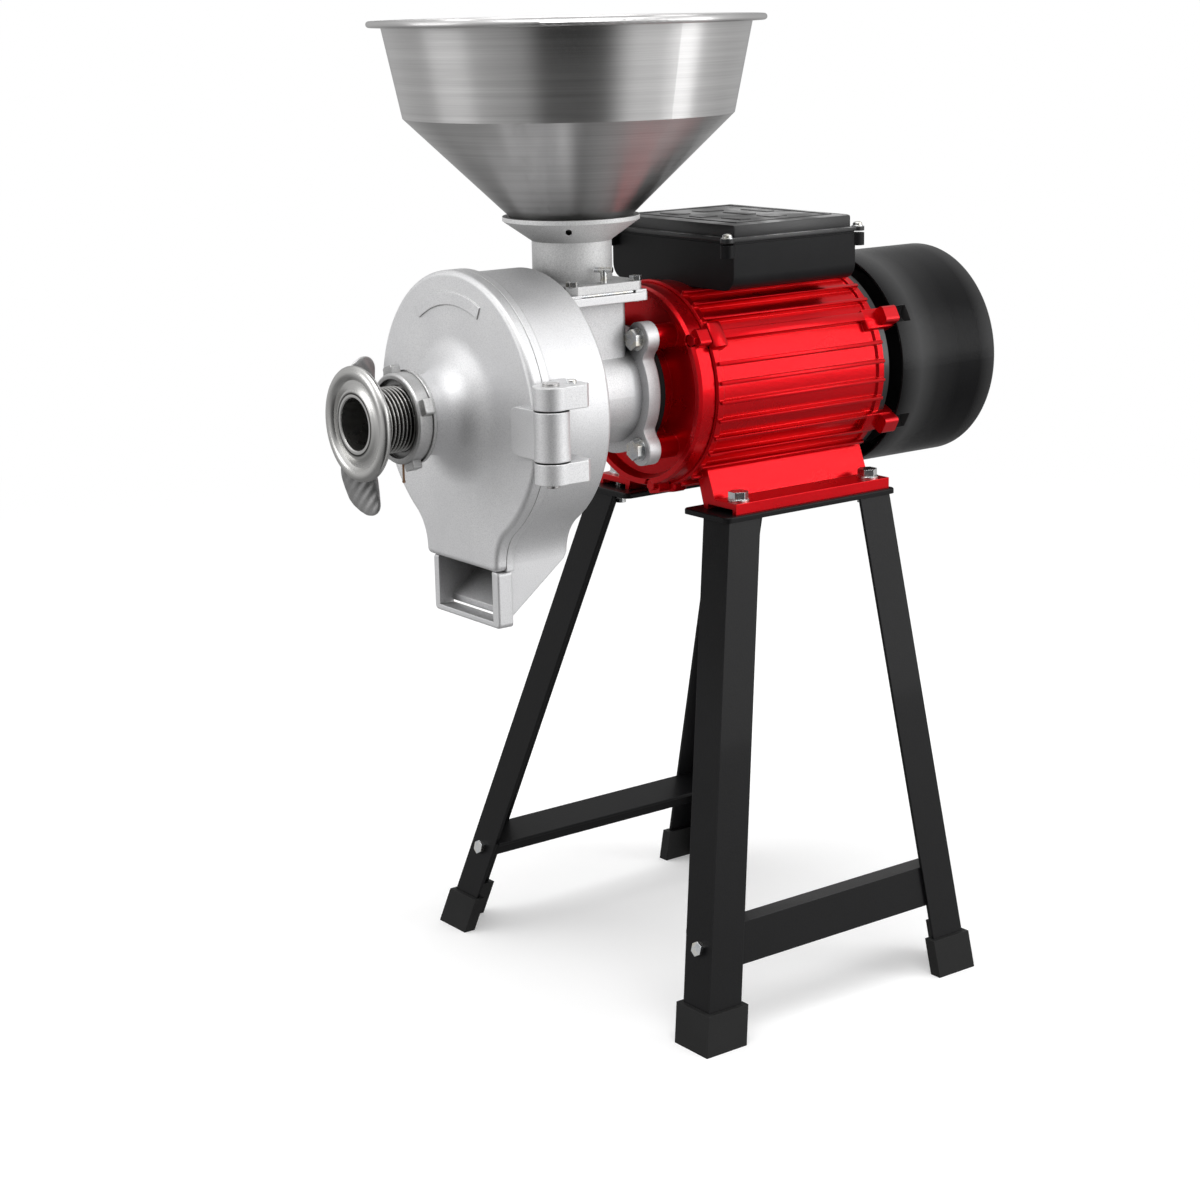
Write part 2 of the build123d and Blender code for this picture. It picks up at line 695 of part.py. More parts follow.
def turning_disc():
    disc = grinding_disc(turning_disc_front, turning_disc_back, -1)
    for angle in (30, 150, 270):
        x, z = on_circle(disc_screw_circle, angle)
        disc -= rod_y(disc_screw_radius, turning_disc_front - 1, turning_disc_back + 1, x, z)
        disc -= rod_y(disc_screw_head, turning_disc_back - 4, turning_disc_back + 1, x, z)
    return disc


def disc_screws():
    screws = []
    head_back = turning_disc_back - 1.0
    for angle in (30, 150, 270):
        x, z = on_circle(disc_screw_circle, angle)
        screws.append(rod_y(disc_screw_head, turning_disc_back - 4, head_back, x, z)
                      + rod_y(disc_screw_radius, carrier_front + 1.5, turning_disc_back - 4, x, z))
    return group(screws)


def auger():
    """Disc carrier and fluted feed screw, cast in one, with a blind bore and a long keyway."""
    lobe = Pos((auger_hub_radius + auger_radius) / 2 - 1, 0) * Rectangle(
        auger_radius - auger_hub_radius + 2, 8)
    section = Sketch() + Circle(auger_hub_radius)
    for i in range(auger_lobes):
        section += Rot(0, 0, 360 / auger_lobes * i) * lobe
    section &= Circle(auger_radius)
    start = turning_disc_back - auger_foot
    plane = Plane(origin=(0, start, 0), x_dir=(1, 0, 0), z_dir=(0, 1, 0))
    flutes = Solid.extrude_linear_with_rotation(
        (plane * section).face(), (0, start, 0), (0, auger_rear - start, 0), auger_twist)
    body = Part() + flutes
    body += rod_y(carrier_radius, carrier_front, turning_disc_front)
    body += rod_y(disc_eye_radius - seat_gap, turning_disc_front, turning_disc_back - auger_foot / 2)
    body += rod_y(rotor_nose_radius, nose_front, carrier_front)
    bore = shaft_radius + running_fit
    body -= rod_y(bore, turning_disc_front + auger_bore_end, auger_rear + 1)
    body -= block(-key_size / 2 - running_fit, key_size / 2 + running_fit, turning_disc_back + 6,
                  auger_rear + 1,
                  0, shaft_radius + key_size / 2 + contact_gap)
    for angle in (30, 150, 270):
        x, z = on_circle(disc_screw_circle, angle)
        body -= rod_y(disc_screw_radius, carrier_front + 1.5, turning_disc_front + 1, x, z)
    return body


def wipers():
    """Bent steel blades on the rim of the carrier that sweep the flour to the chute."""
    blades = []
    for angle in (90, 210, 330):
        root = block(carrier_radius - 14, disc_radius + wiper_reach, carrier_front - wiper_thickness,
                     carrier_front,
                     -wiper_width / 2, wiper_width / 2)
        tip = block(disc_radius + wiper_reach - wiper_thickness, disc_radius + wiper_reach,
                    carrier_front - wiper_thickness, turning_disc_back, -wiper_width / 2, wiper_width / 2)
        blades.append(Rot(0, -angle, 0) * (root + tip))
    return group(blades)


def rotor_spring():
    """Coil spring in the auger's bore, between its end and the shaft."""
    start = turning_disc_front + auger_bore_end + spring_wire + contact_gap
    length = shaft_front - contact_gap - spring_wire - start
    path = Helix(pitch=length / spring_turns, height=length, radius=spring_radius)
    wire = sweep(Plane(origin=path @ 0, z_dir=path % 0) * Circle(spring_wire), path=path)
    return Pos(0, start, 0) * Rot(-90, 0, 0) * wire


def motor_shaft():
    shaft = rod_y(shaft_radius, shaft_front, fan_front + fan_depth + shaft_radius)
    shaft += rod_y(rotor_bore, front_bearing_rear, rear_bearing_front)
    shaft = chamfer(shaft.edges().group_by(Axis.Y)[0], 1.0)
    return shaft - block(-key_size / 2, key_size / 2, key_front, key_rear,
                         shaft_radius - key_size / 2, shaft_radius + 1)


def shaft_key():
    return block(-key_size / 2, key_size / 2, key_front, key_rear,
                 shaft_radius - key_size / 2, shaft_radius + key_size / 2)


def shaft_seal():
    """Moulded rubber disc between the mill and the motor, with a lip round the shaft."""
    seal = tube_y(seal_radius, shield_hub_radius - 6, flange_rear, seal_rear)
    seal += tube_y(shield_hub_radius - 5, shaft_radius + contact_gap, flange_rear, flange_rear + 3)
    for x in (-flange_bolt_x, flange_bolt_x):
        for z in (-flange_bolt_z, flange_bolt_z):
            seal -= rod_y(shield_boss_radius + contact_gap, flange_rear - 1, seal_rear + 1, x, z)
    return seal


def front_end_shield():
    """Dished end shield with a bearing seat and four bosses for the mill's flange."""
    hub_back = front_bearing_rear
    shield = turned_y(
        (shaft_radius + 2, seal_rear), (shield_hub_radius + 6, seal_rear),
        (shield_hub_radius + 4, shield_front + 3),
        (shield_radius - 8, shield_front + 6), (shield_radius - 5, shield_front),
        (shield_radius - 1, shield_front),
        (shield_radius, shield_front + 3), (shield_radius, shield_rear),
        (bore_radius - seat_gap, shield_rear),
        (bore_radius - seat_gap, shield_rear + 4), (bore_radius - 4, shield_rear + 4),
        (bore_radius - 4, shield_front + 11),
        (shield_hub_radius, shield_front + 9), (shield_hub_radius, hub_back), (shaft_radius + 2, hub_back),
    )
    for x in (-flange_bolt_x, flange_bolt_x):
        for z in (-flange_bolt_z, flange_bolt_z):
            shield += rod_y(shield_boss_radius, flange_rear, shield_front + 9, x, z)
            web = block(-1.8, 1.8, seal_rear, shield_front + 6, 0, hypot(x, z))
            shield += (Rot(0, 90 - degrees(atan2(z, x)), 0) * web) - rod_y(shield_hub_radius, 0, body_rear)
            shield -= rod_y(flange_bolt[0], flange_rear - 1, flange_rear + flange_thread_depth, x, z)
    for angle in ear_angles:
        shield += Rot(0, -angle, 0) * ear(tie_bolt_seat, shield_rear)
        x, z = on_circle(ear_circle, angle)
        shield -= rod_y(tie_bolt[0], 0, body_rear, x, z) + rod_y(tie_bolt[1] + contact_gap, 0,
                                                                 tie_bolt_seat, x, z)
    return shield - rod_y(bearing_radius, front_bearing_front, hub_back + 1)


def ear(y0, y1):
    """Square lug for a tie bolt."""
    lug = block(bore_radius, ear_circle + ear_radius, y0, y1, -ear_radius, ear_radius)
    return fillet(lug.edges().filter_by(Axis.Y).group_by(Axis.X)[-1], 2.5)


def bearing(y0):
    outer = tube_y(bearing_radius, bearing_radius - 4, y0, y0 + bearing_width)
    inner = tube_y(shaft_radius + 4, shaft_radius, y0, y0 + bearing_width)
    shields = tube_y(bearing_radius - 3, shaft_radius + 3, y0 + 1, y0 + bearing_width - 1)
    return outer + inner + shields


def motor_housing():
    """Finned stator frame with its feet, cast in one piece."""
    frame = rod_y(body_radius, body_front, body_rear)
    panel_front, panel_rear = body_front + border_width, body_rear - border_width
    recess = tube_y(rib_radius + 1, body_radius - panel_depth, panel_front, panel_rear)
    step = 360 / rib_count
    for i in range(rib_count):
        rib = block(0, rib_radius, panel_front - 1, panel_rear + 1, -rib_width / 2, rib_width / 2)
        recess -= Rot(0, -step * i, 0) * rib
    frame -= recess
    for i in range(rib_count):
        rib = block(body_radius - panel_depth - 1, rib_radius, body_front + 2, body_rear - 2,
                    -rib_width / 2, rib_width / 2)
        frame += Rot(0, -step * i, 0) * rib
    for angle in ear_angles:
        frame += Rot(0, -angle, 0) * ear(body_front, body_front + ear_length)
        x, z = on_circle(ear_circle, angle)
        frame -= rod_y(tie_bolt[0], body_front - 1, body_front + ear_length + 1, x, z)
    frame += foot(1) + foot(-1)
    neck_top = box_floor_top - 0.5
    neck_middle = (box_front + box_rear) / 2
    frame += block(-neck_half_x, neck_half_x, neck_middle - neck_half_y, neck_middle + neck_half_y,
                   body_radius - 3, neck_top)
    frame -= rod_y(bore_radius, body_front - 1, body_rear + 1)
    for x in (-foot_hole_x, foot_hole_x):
        for y in (foot_hole_front, foot_hole_rear):
            frame -= rod_z(foot_bolt[0], -foot_base - 1, -foot_base + foot_thickness + 1, x, y)
    return frame


def foot(side):
    """One foot: a sloping web down to a flange that is hollow underneath."""
    top = -foot_base + foot_thickness
    base = -foot_base
    web = [(foot_web_top_x - 9, -foot_web_top_z), (foot_web_top_x + 4, -foot_web_top_z),
           (foot_inner + 10, top), (foot_outer, top), (foot_outer, base), (foot_outer - 4, base),
           (foot_outer - 4, base + foot_hollow), (foot_inner + 4, base + foot_hollow), (foot_inner + 4, base),
           (foot_inner, base)]
    outline = make_face(Polyline(*[(side * x, z) for x, z in web], close=True))
    casting = slab_y(outline, foot_front, foot_end)
    for y in (foot_hole_front, foot_hole_rear):
        casting += rod_z(foot_washer_radius, base, base + foot_hollow + 1, side * foot_hole_x, y)
    return casting


def rear_end_shield():
    seat = rear_bearing_front
    shield = turned_y(
        (shaft_radius + 2, seat), (shield_hub_radius, seat), (shield_hub_radius, body_rear),
        (bore_radius - seat_gap, body_rear - 4), (bore_radius - seat_gap, body_rear),
        (body_radius - 1, body_rear),
        (body_radius - 1, rear_shield_rear - 3), (body_radius - 8, rear_shield_rear),
        (shaft_radius + 2, rear_shield_rear),
    )
    for angle in lug_angles:
        lug = block(body_radius - 6, lug_radius + pocket_radius, body_rear, fan_cover_front,
                    -pocket_radius, pocket_radius)
        shield += Rot(0, -angle, 0) * fillet(lug.edges().filter_by(Axis.Y).group_by(Axis.X)[-1], 3.0)
        x, z = on_circle(lug_radius, angle)
        shield -= rod_y(small_screw[0], fan_cover_front - 8, fan_cover_front + 1, x, z)
    return shield - rod_y(bearing_radius, seat - 1, seat + bearing_width)


def tie_bolts():
    bolts = []
    for angle in ear_angles:
        x, z = on_circle(ear_circle, angle)
        bolt = hex_bolt(tie_bolt, body_front + ear_length - tie_bolt_seat)
        bolts.append(aimed(bolt, (x, tie_bolt_seat, z), (0, -1, 0)))
    return group(bolts)


def stator_core():
    stack = tube_y(stack_radius, rotor_radius + air_gap, stack_front, stack_rear)
    ends = tube_y(stack_radius - 6, rotor_radius + 4, stack_front - winding_overhang,
                  stack_rear + winding_overhang)
    return stack + ends


def rotor_core():
    return tube_y(rotor_radius, rotor_bore, stack_front, stack_rear)


def fan():
    """Radial cooling fan on the rear end of the shaft."""
    hub = tube_y(shaft_radius + 8, shaft_radius, fan_front, fan_front + fan_depth)
    disc = tube_y(fan_radius, shaft_radius, fan_front, fan_front + 3)
    body = hub + disc
    for i in range(fan_blades):
        blade = block(shaft_radius + 6, fan_radius, fan_front + 2, fan_front + fan_depth, -1.2, 1.2)
        body += Rot(0, -360 / fan_blades * i, 0) * blade
    return body


def fan_cover():
    """Pressed cover with an air grille at the back and a pocket over each screw."""
    radius, wall = fan_cover_radius, fan_cover_wall
    cup = rod_y(radius, fan_cover_front, fan_cover_rear)
    cup = fillet(cup.edges().group_by(Axis.Y)[-1], 4.0)
    inner = rod_y(radius - wall, fan_cover_front - 1, fan_cover_rear - wall)
    inner = fillet(inner.edges().group_by(Axis.Y)[-1], 3.0)
    cover = cup - inner
    depth = 16.0
    for angle in lug_angles:
        x, z = on_circle(lug_radius, angle)
        pocket = rod_y(pocket_radius + wall, fan_cover_front, fan_cover_front + depth, x, z)
        cover += pocket & rod_y(radius, fan_cover_front, fan_cover_front + depth)
        cover -= rod_y(pocket_radius, fan_cover_front + wall, fan_cover_front + depth - wall, x, z)
        cover -= rod_y(small_screw[0], fan_cover_front - 1, fan_cover_front + wall + 1, x, z)
    for ring, count in ((26.0, 8), (42.0, 12), (58.0, 16)):
        for i in range(count):
            slot = block(ring - 5, ring + 5, fan_cover_rear - 2 * wall, fan_cover_rear + 1, -1.6, 1.6)
            cover -= Rot(0, -360 / count * i, 0) * slot
    return cover


def fan_cover_screws():
    screws = []
    for angle in lug_angles:
        x, z = on_circle(lug_radius, angle)
        screws.append(aimed(round_screw(small_screw, 8), (x, fan_cover_front + fan_cover_wall, z), (0, 1, 0)))
    return group(screws)


def box_lug_places():
    for x in (-box_lug_x, box_lug_x):
        for y in (box_front - box_lug_offset, box_rear + box_lug_offset):
            yield x, y


def capacitor_box():
    """Moulded tub that straddles the motor's ribs."""
    tub = block(-box_half_x, box_half_x, box_front, box_rear, box_bottom, box_top)
    tub = fillet(tub.edges().filter_by(Axis.Y).group_by(Axis.Z)[0], box_edge)
    tub = fillet(tub.edges().filter_by(Axis.Z), 4.0)
    for x, y in box_lug_places():
        tub += rod_z(box_lug_radius, box_top - 9, box_top, x, y)
    tub -= rod_y(rib_radius + seat_gap, box_front - 20, box_rear + 20)
    tub -= block(-box_half_x + box_wall, box_half_x - box_wall, box_front + box_wall, box_rear - box_wall,
                 box_floor_top, box_top + 1)
    middle = (box_front + box_rear) / 2
    fit = contact_gap
    tub -= block(-neck_half_x - fit, neck_half_x + fit, middle - neck_half_y - fit,
                 middle + neck_half_y + fit,
                 0, box_floor_top + 1)
    for x, y in box_lug_places():
        tub -= rod_z(box_screw_radius, box_top - 8, box_top + 1, x, y)
    return tub


def box_gasket():
    half_x, front, rear = box_half_x - 0.5, box_front + 0.5, box_rear - 0.5
    ring = block(-half_x, half_x, front, rear, box_top, box_top + gasket_thickness)
    return ring - block(-half_x + box_wall, half_x - box_wall, front + box_wall, rear - box_wall,
                        box_top - 1, box_top + gasket_thickness + 1)


def box_lid():
    """Lid with a stepped lip, a shallow crown and a lug over each screw."""
    low = box_top + gasket_thickness
    front, rear = box_front - lid_overhang, box_rear + lid_overhang
    lip = block(-lid_half_x, lid_half_x, front, rear, low, low + lid_lip)
    for x, y in box_lug_places():
        lip += rod_z(box_lug_radius, low, low + lid_lip, x, y)
    crown = block(-lid_half_x + 2.5, lid_half_x - 2.5, front + 2.5, rear - 2.5, low, lid_top)
    crown = fillet(crown.edges().filter_by(Axis.Z), 5.0)
    crown = fillet(crown.edges().group_by(Axis.Z)[-1], 2.5)
    lid = lip + crown
    for x, y in box_lug_places():
        lid -= rod_z(box_lug_radius + 1.2, low + lid_lip, lid_top + 1, x, y)
        lid -= rod_z(box_screw_radius, low - 1, low + lid_lip + 1, x, y)
    return lid - block(-box_half_x + box_wall, box_half_x - box_wall, box_front + box_wall,
                       box_rear - box_wall,
                       low - 1, lid_top - box_wall)


def box_screws():
    top = box_top + gasket_thickness + lid_lip
    return group([Pos(x, y, top) * round_screw(small_screw, 11.5) for x, y in box_lug_places()])


def capacitor(x, radius, y0, y1):
    z = box_floor_top + radius
    can = rod_y(radius, y0, y1, x, z)
    return fillet(can.edges(), 2.0)


def top_plate(side):
    plate = block(plate_inner, plate_outer, plate_front, plate_rear, plate_bottom, plate_top)
    plate = fillet(plate.edges().filter_by(Axis.Z), 5.0)
    plate = fillet(plate.edges().group_by(Axis.Z)[-1], 1.2)
    for y in (foot_hole_front, foot_hole_rear):
        plate -= rod_z(foot_bolt[0], plate_bottom - 1, plate_top + 1, foot_hole_x, y)
    return plate if side > 0 else mirror(plate, Plane.YZ)


def leg_line(end):
    """Outer corner of a right-hand leg: its top point and its foot point."""
    top_y, foot_y = (leg_top_front, leg_foot_front) if end == "front" else (leg_top_rear, leg_foot_rear)
    return Vector(leg_top_x, top_y, plate_bottom), Vector(leg_foot_x, foot_y, floor)


def angle_section(end, grow=0.0):
    """Level section of a right-hand leg, with its outer corner at the origin."""
    inward = 1 if end == "front" else -1
    width, thick = angle_width + grow, angle_thickness + grow
    points = [(grow, -grow * inward), (-width, -grow * inward), (-width, thick * inward),
              (-thick, thick * inward), (-thick, width * inward), (grow, width * inward)]
    return make_face(Polyline(*points, close=True))


def leg(side, end):
    top, foot_point = leg_line(end)
    run = foot_point - top
    run = run * ((shaft_height + plate_bottom - boot_floor) / (shaft_height + plate_bottom))
    section = Plane(origin=top) * angle_section(end)
    bar = extrude(section, amount=run.length, dir=run.normalized())
    for bolt_end, place, direction in brace_bolt_places():
        if bolt_end == end:
            bar -= aimed(rod_z(brace_bolt[0], -brace_tab, brace_tab), place, direction)
    return bar if side > 0 else mirror(bar, Plane.YZ)


def foot_boots():
    """Rubber boots round the feet, with a groove inside the angle."""
    boots = []
    for side in (-1, 1):
        for end in ("front", "rear"):
            top, foot_point = leg_line(end)
            rise = (top - foot_point) * (boot_height / (shaft_height + plate_bottom))
            section = Plane(origin=foot_point) * angle_section(end, boot_wall)
            boot = extrude(section, amount=rise.length, dir=rise.normalized())
            boot = boot if side > 0 else mirror(boot, Plane.YZ)
            boots.append(boot - leg(side, end))
    return group(boots)


def between_legs(inset):
    """Space between the front and rear legs' inner faces, as a slab across the machine."""
    front_top, front_foot = leg_line("front")
    rear_top, rear_foot = leg_line("rear")
    points = [(front_top.Y + inset, front_top.Z), (front_foot.Y + inset, front_foot.Z),
              (rear_foot.Y - inset, rear_foot.Z), (rear_top.Y - inset, rear_top.Z)]
    return slab_x(points, 0, 2 * leg_foot_x)


def brace(side):
    """Angle bar along the side, nested in the legs, with a tab behind each leg's front and rear face."""
    top, foot_point = leg_line("front")
    slope = (foot_point.X - top.X) / (top.Z - foot_point.Z)
    top_x = top.X + slope * (top.Z + brace_top) - angle_thickness
    length = hypot(slope, 1)
    down = Vector(slope / length, -1 / length)
    inward = Vector(-1 / length, -slope / length)
    corner = Vector(top_x, -brace_top)
    outline = [corner, corner + down * angle_width, corner + down * angle_width + inward * angle_thickness,
               corner + down * angle_thickness + inward * angle_thickness,
               corner + inward * angle_width + down * angle_thickness, corner + inward * angle_width]
    face = make_face(Polyline(*[(p.X, p.Y) for p in outline], close=True))
    bar = slab_y(face, leg_foot_front - 20, leg_foot_rear + 20) & between_legs(angle_thickness)
    tab = slab_y(make_face(Polyline(*[(p.X, p.Y) for p in (
        corner + down * 2, corner + down * (brace_tab + 2),
        corner + down * (brace_tab + 2) + inward * brace_tab,
        corner + down * 2 + inward * brace_tab)], close=True)), leg_foot_front - 20, leg_foot_rear + 20)
    bar += tab & (between_legs(angle_thickness) - between_legs(2 * angle_thickness))
    for end, place, direction in brace_bolt_places():
        bar -= aimed(rod_z(brace_bolt[0], -brace_tab, brace_tab), place, direction)
    return bar if side > 0 else mirror(bar, Plane.YZ)


def brace_bolt_places():
    """Bolt head seats on the outer faces of the right-hand legs, with the way each head points."""
    for end, outward in (("front", -1), ("rear", 1)):
        top, foot_point = leg_line(end)
        run = foot_point - top
        share = (brace_top + brace_tab / 2 + 3 + top.Z) / -run.Z
        corner = top + run * share
        place = Vector(corner.X - angle_thickness - brace_tab / 2, corner.Y, corner.Z)
        normal = Vector(0, outward, outward * run.Y / -run.Z).normalized()
        yield end, place, normal


def brace_bolts():
    bolts = []
    for end, place, direction in brace_bolt_places():
        bolt = aimed(hex_bolt(brace_bolt, 11), place, direction)
        nut = aimed(rod_z(brace_bolt[1] * 0.95, -9.5, -2 * angle_thickness - contact_gap), place, direction)
        bolts.append(bolt + nut)
        bolts.append(mirror(bolt + nut, Plane.YZ))
    return group(bolts)


def foot_bolts():
    top = -foot_base + foot_thickness
    bolt = hex_bolt(foot_bolt, foot_thickness + plate_thickness + 12)
    washer = rod_z(foot_washer_radius, 0, thin_washer) - rod_z(foot_bolt[0], -1, thin_washer + 1)
    fastener = (Pos(0, 0, thin_washer) * bolt) + washer
    return group([Pos(x, y, top) * fastener for x in (-foot_hole_x, foot_hole_x)
                  for y in (foot_hole_front, foot_hole_rear)])


def foot_nuts():
    nut = extrude(RegularPolygon(foot_bolt[1], 6), amount=nut_height) - rod_z(foot_bolt[0], -1,
                                                                              nut_height + 1)
    return group([Pos(x, y, plate_bottom - nut_height) * nut for x in (-foot_hole_x, foot_hole_x)
                  for y in (foot_hole_front, foot_hole_rear)])


def flange_bolts():
    bolts = []
    for x in (-flange_bolt_x, flange_bolt_x):
        for z in (-flange_bolt_z, flange_bolt_z):
            bolts.append(aimed(hex_bolt(flange_bolt,
                                        flange_thickness + thin_washer + flange_thread_depth - 1),
                               (x, flange_front - thin_washer, z), (0, -1, 0)))
    return group(bolts)


def flange_washers():
    return group([tube_y(foot_washer_radius, flange_bolt[0], flange_front - thin_washer, flange_front, x, z)
                  for x in (-flange_bolt_x, flange_bolt_x) for z in (-flange_bolt_z, flange_bolt_z)])


def hopper_base():
    """Cast cup, neck and square flange that carry the hopper."""
    slope = (hopper_knee_radius - hopper_seat_radius) / (hopper_knee_height - cup_rim_height)
    seat = hopper_seat_radius + seat_gap
    bore_height = cup_rim_height - (seat - feed_bore) / slope
    base = turned_z(
        (feed_bore, base_bottom), (neck_radius, base_bottom), (neck_radius, cup_foot_height),
        (cup_rim_radius, cup_rim_height - 3), (cup_rim_radius, cup_rim_height),
        (seat, cup_rim_height), (feed_bore, bore_height), y=hopper_y)
    half_x, half_y = base_flange_half
    plate = block(-half_x, half_x, hopper_y - half_y, hopper_y + half_y, base_bottom, base_top)
    plate = chamfer(plate.edges().filter_by(Axis.Z), base_flange_chamfer)
    base += plate - rod_z(feed_bore, 0, base_top + 1, 0, hopper_y)
    for x in (-base_bolt_x, base_bolt_x):
        for y in (hopper_y - base_bolt_y, hopper_y + base_bolt_y):
            base -= rod_z(base_bolt[0], base_bottom - 1, base_top + 1, x, y)
    base -= rod_z(clamp_screw_radius, base_bottom - 1, base_top + 1, clamp_screw_x, hopper_y)
    hole_z = (cup_rim_height + cup_foot_height) / 2
    return base - aimed(rod_z(set_hole_radius, 0, cup_rim_radius * 2), (0, hopper_y, hole_z), (1, -0.8, 0))


def hopper_base_bolts():
    bolt = hex_bolt(base_bolt, base_top - lower_flange_top + lower_flange_thickness + 1)
    return group([Pos(x, hopper_y + y, base_top) * bolt for x in (-base_bolt_x, base_bolt_x)
                  for y in (-base_bolt_y, base_bolt_y)])


def feed_gate():
    """Sliding plate with a hole as wide as the feed bore; pushed in, its blind half shuts the feed."""
    low = lower_flange_top + contact_gap
    end = base_flange_half[0] - gate_recess
    start = -lower_flange_half[0] - gate_travel - 2 * contact_gap
    plate = block(start, end, hopper_y - gate_half_width, hopper_y + gate_half_width, low,
                  low + gate_thickness)
    plate -= rod_z(feed_bore - 0.5, low - 1, low + 3, 0, hopper_y)
    handle = block(start - gate_thickness, start, hopper_y - gate_half_width, hopper_y + gate_half_width,
                   low - gate_handle_drop, low + gate_thickness)
    return plate + handle


def clamp_screw():
    low = lower_flange_top + contact_gap + gate_thickness + contact_gap
    screw = rod_z(clamp_screw_radius - running_fit / 2, low, clamp_screw_top, clamp_screw_x, hopper_y)
    half = clamp_bar_length / 2
    bar = Pos(clamp_screw_x, hopper_y, clamp_screw_top) * Rot(0, 0, 35) * rod_x(clamp_bar_radius, -half, half)
    return screw + bar


def hopper():
    """Spun sheet hopper: rolled rim, tapered wall, cone and a short spout in the base's neck."""
    slope = (hopper_knee_radius - hopper_seat_radius) / (hopper_knee_height - cup_rim_height)
    spout_radius = feed_bore - seat_gap
    cone_foot = cup_rim_height - (hopper_seat_radius - spout_radius) / slope
    outer = [(spout_radius, cone_foot - spout_length), (spout_radius, cone_foot),
             (hopper_knee_radius, hopper_knee_height),
             (hopper_wall_top_radius, hopper_rim_height - hopper_bead),
             (hopper_rim_radius - hopper_bead, hopper_rim_height - hopper_bead)]
    inner = [(hopper_rim_radius - hopper_bead, hopper_rim_height - hopper_bead + sheet),
             (hopper_wall_top_radius - sheet, hopper_rim_height - hopper_bead + sheet),
             (hopper_knee_radius - sheet, hopper_knee_height + sheet / 2),
             (spout_radius - sheet, cone_foot + sheet / 2),
             (spout_radius - sheet, cone_foot - spout_length)]
    shell = turned_z(*outer, *inner, y=hopper_y)
    ring = Pos(0, hopper_y, hopper_rim_height - hopper_bead) * Torus(hopper_rim_radius - hopper_bead,
                                                                     hopper_bead)
    return shell + ring


def build_pieces():
    pieces["hopper"] = hopper()
    pieces["hopper_base"] = hopper_base()
    pieces["hopper_base_bolts"] = hopper_base_bolts()
    pieces["feed_gate"] = feed_gate()
    pieces["clamp_screw"] = clamp_screw()
    pieces["grinding_housing"] = grinding_housing()
    pieces["flange_bolts"] = flange_bolts()
    pieces["flange_washers"] = flange_washers()
    pieces["front_door"] = front_door()
    pieces["hinge_pin"] = hinge_pin()
    pieces["pin_lock_screw"] = pin_lock_screw()
    pieces["adjusting_screw"] = adjusting_screw()
    pieces["thrust_bearing"] = thrust_bearing()
    pieces["lock_ring"] = lock_ring()
    pieces["lock_washer"] = lock_washer()
    pieces["split_pin"] = split_pin()
    pieces["latch_bolt"] = latch_bolt()
    pieces["latch_pin"] = latch_pin()
    pieces["latch_washer"] = latch_washer()
    pieces["wing_nut"] = wing_nut()
    pieces["fixed_disc"] = fixed_disc()
    pieces["fixed_disc_screws"] = fixed_disc_screws()
    pieces["turning_disc"] = turning_disc()
    pieces["disc_screws"] = disc_screws()
    pieces["auger"] = auger()
    pieces["wipers"] = wipers()
    pieces["rotor_spring"] = rotor_spring()
    pieces["motor_shaft"] = motor_shaft()
    pieces["shaft_key"] = shaft_key()
    pieces["shaft_seal"] = shaft_seal()
    pieces["front_end_shield"] = front_end_shield()
    pieces["rear_end_shield"] = rear_end_shield()
    pieces["front_bearing"] = bearing(front_bearing_front)
    pieces["rear_bearing"] = bearing(rear_bearing_front)
    pieces["motor_housing"] = motor_housing()
    pieces["tie_bolts"] = tie_bolts()
    pieces["stator_core"] = stator_core()
    pieces["rotor_core"] = rotor_core()
    pieces["fan"] = fan()
    pieces["fan_cover"] = fan_cover()
    pieces["fan_cover_screws"] = fan_cover_screws()
    pieces["capacitor_box"] = capacitor_box()
    pieces["box_gasket"] = box_gasket()
    pieces["box_lid"] = box_lid()
    pieces["box_screws"] = box_screws()
    pieces["run_capacitor"] = capacitor(-38.0, 13.0, box_front + 20, box_rear - 25)
    pieces["start_capacitor"] = capacitor(40.0, 14.0, box_front + 15, box_rear - 20)
    pieces["foot_bolts"] = foot_bolts()
    pieces["foot_nuts"] = foot_nuts()
    for side, name in ((-1, "left"), (1, "right")):
        pieces["top_plate_" + name] = top_plate(side)
        pieces["brace_" + name] = brace(side)
        for end in ("front", "rear"):
            pieces["leg_" + end + "_" + name] = leg(side, end)
    pieces["brace_bolts"] = brace_bolts()
    pieces["foot_boots"] = foot_boots()


build_pieces()
os.makedirs("parts", exist_ok=True)
to_floor = Pos(0, -overall_middle, shaft_height)
for name, piece in pieces.items():
    export_step(to_floor * piece, "parts/" + name + ".step")
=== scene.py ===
import json
from math import atan2, cos, hypot, pi, radians, sin

import bmesh
import bpy
from mathutils import Matrix, Vector


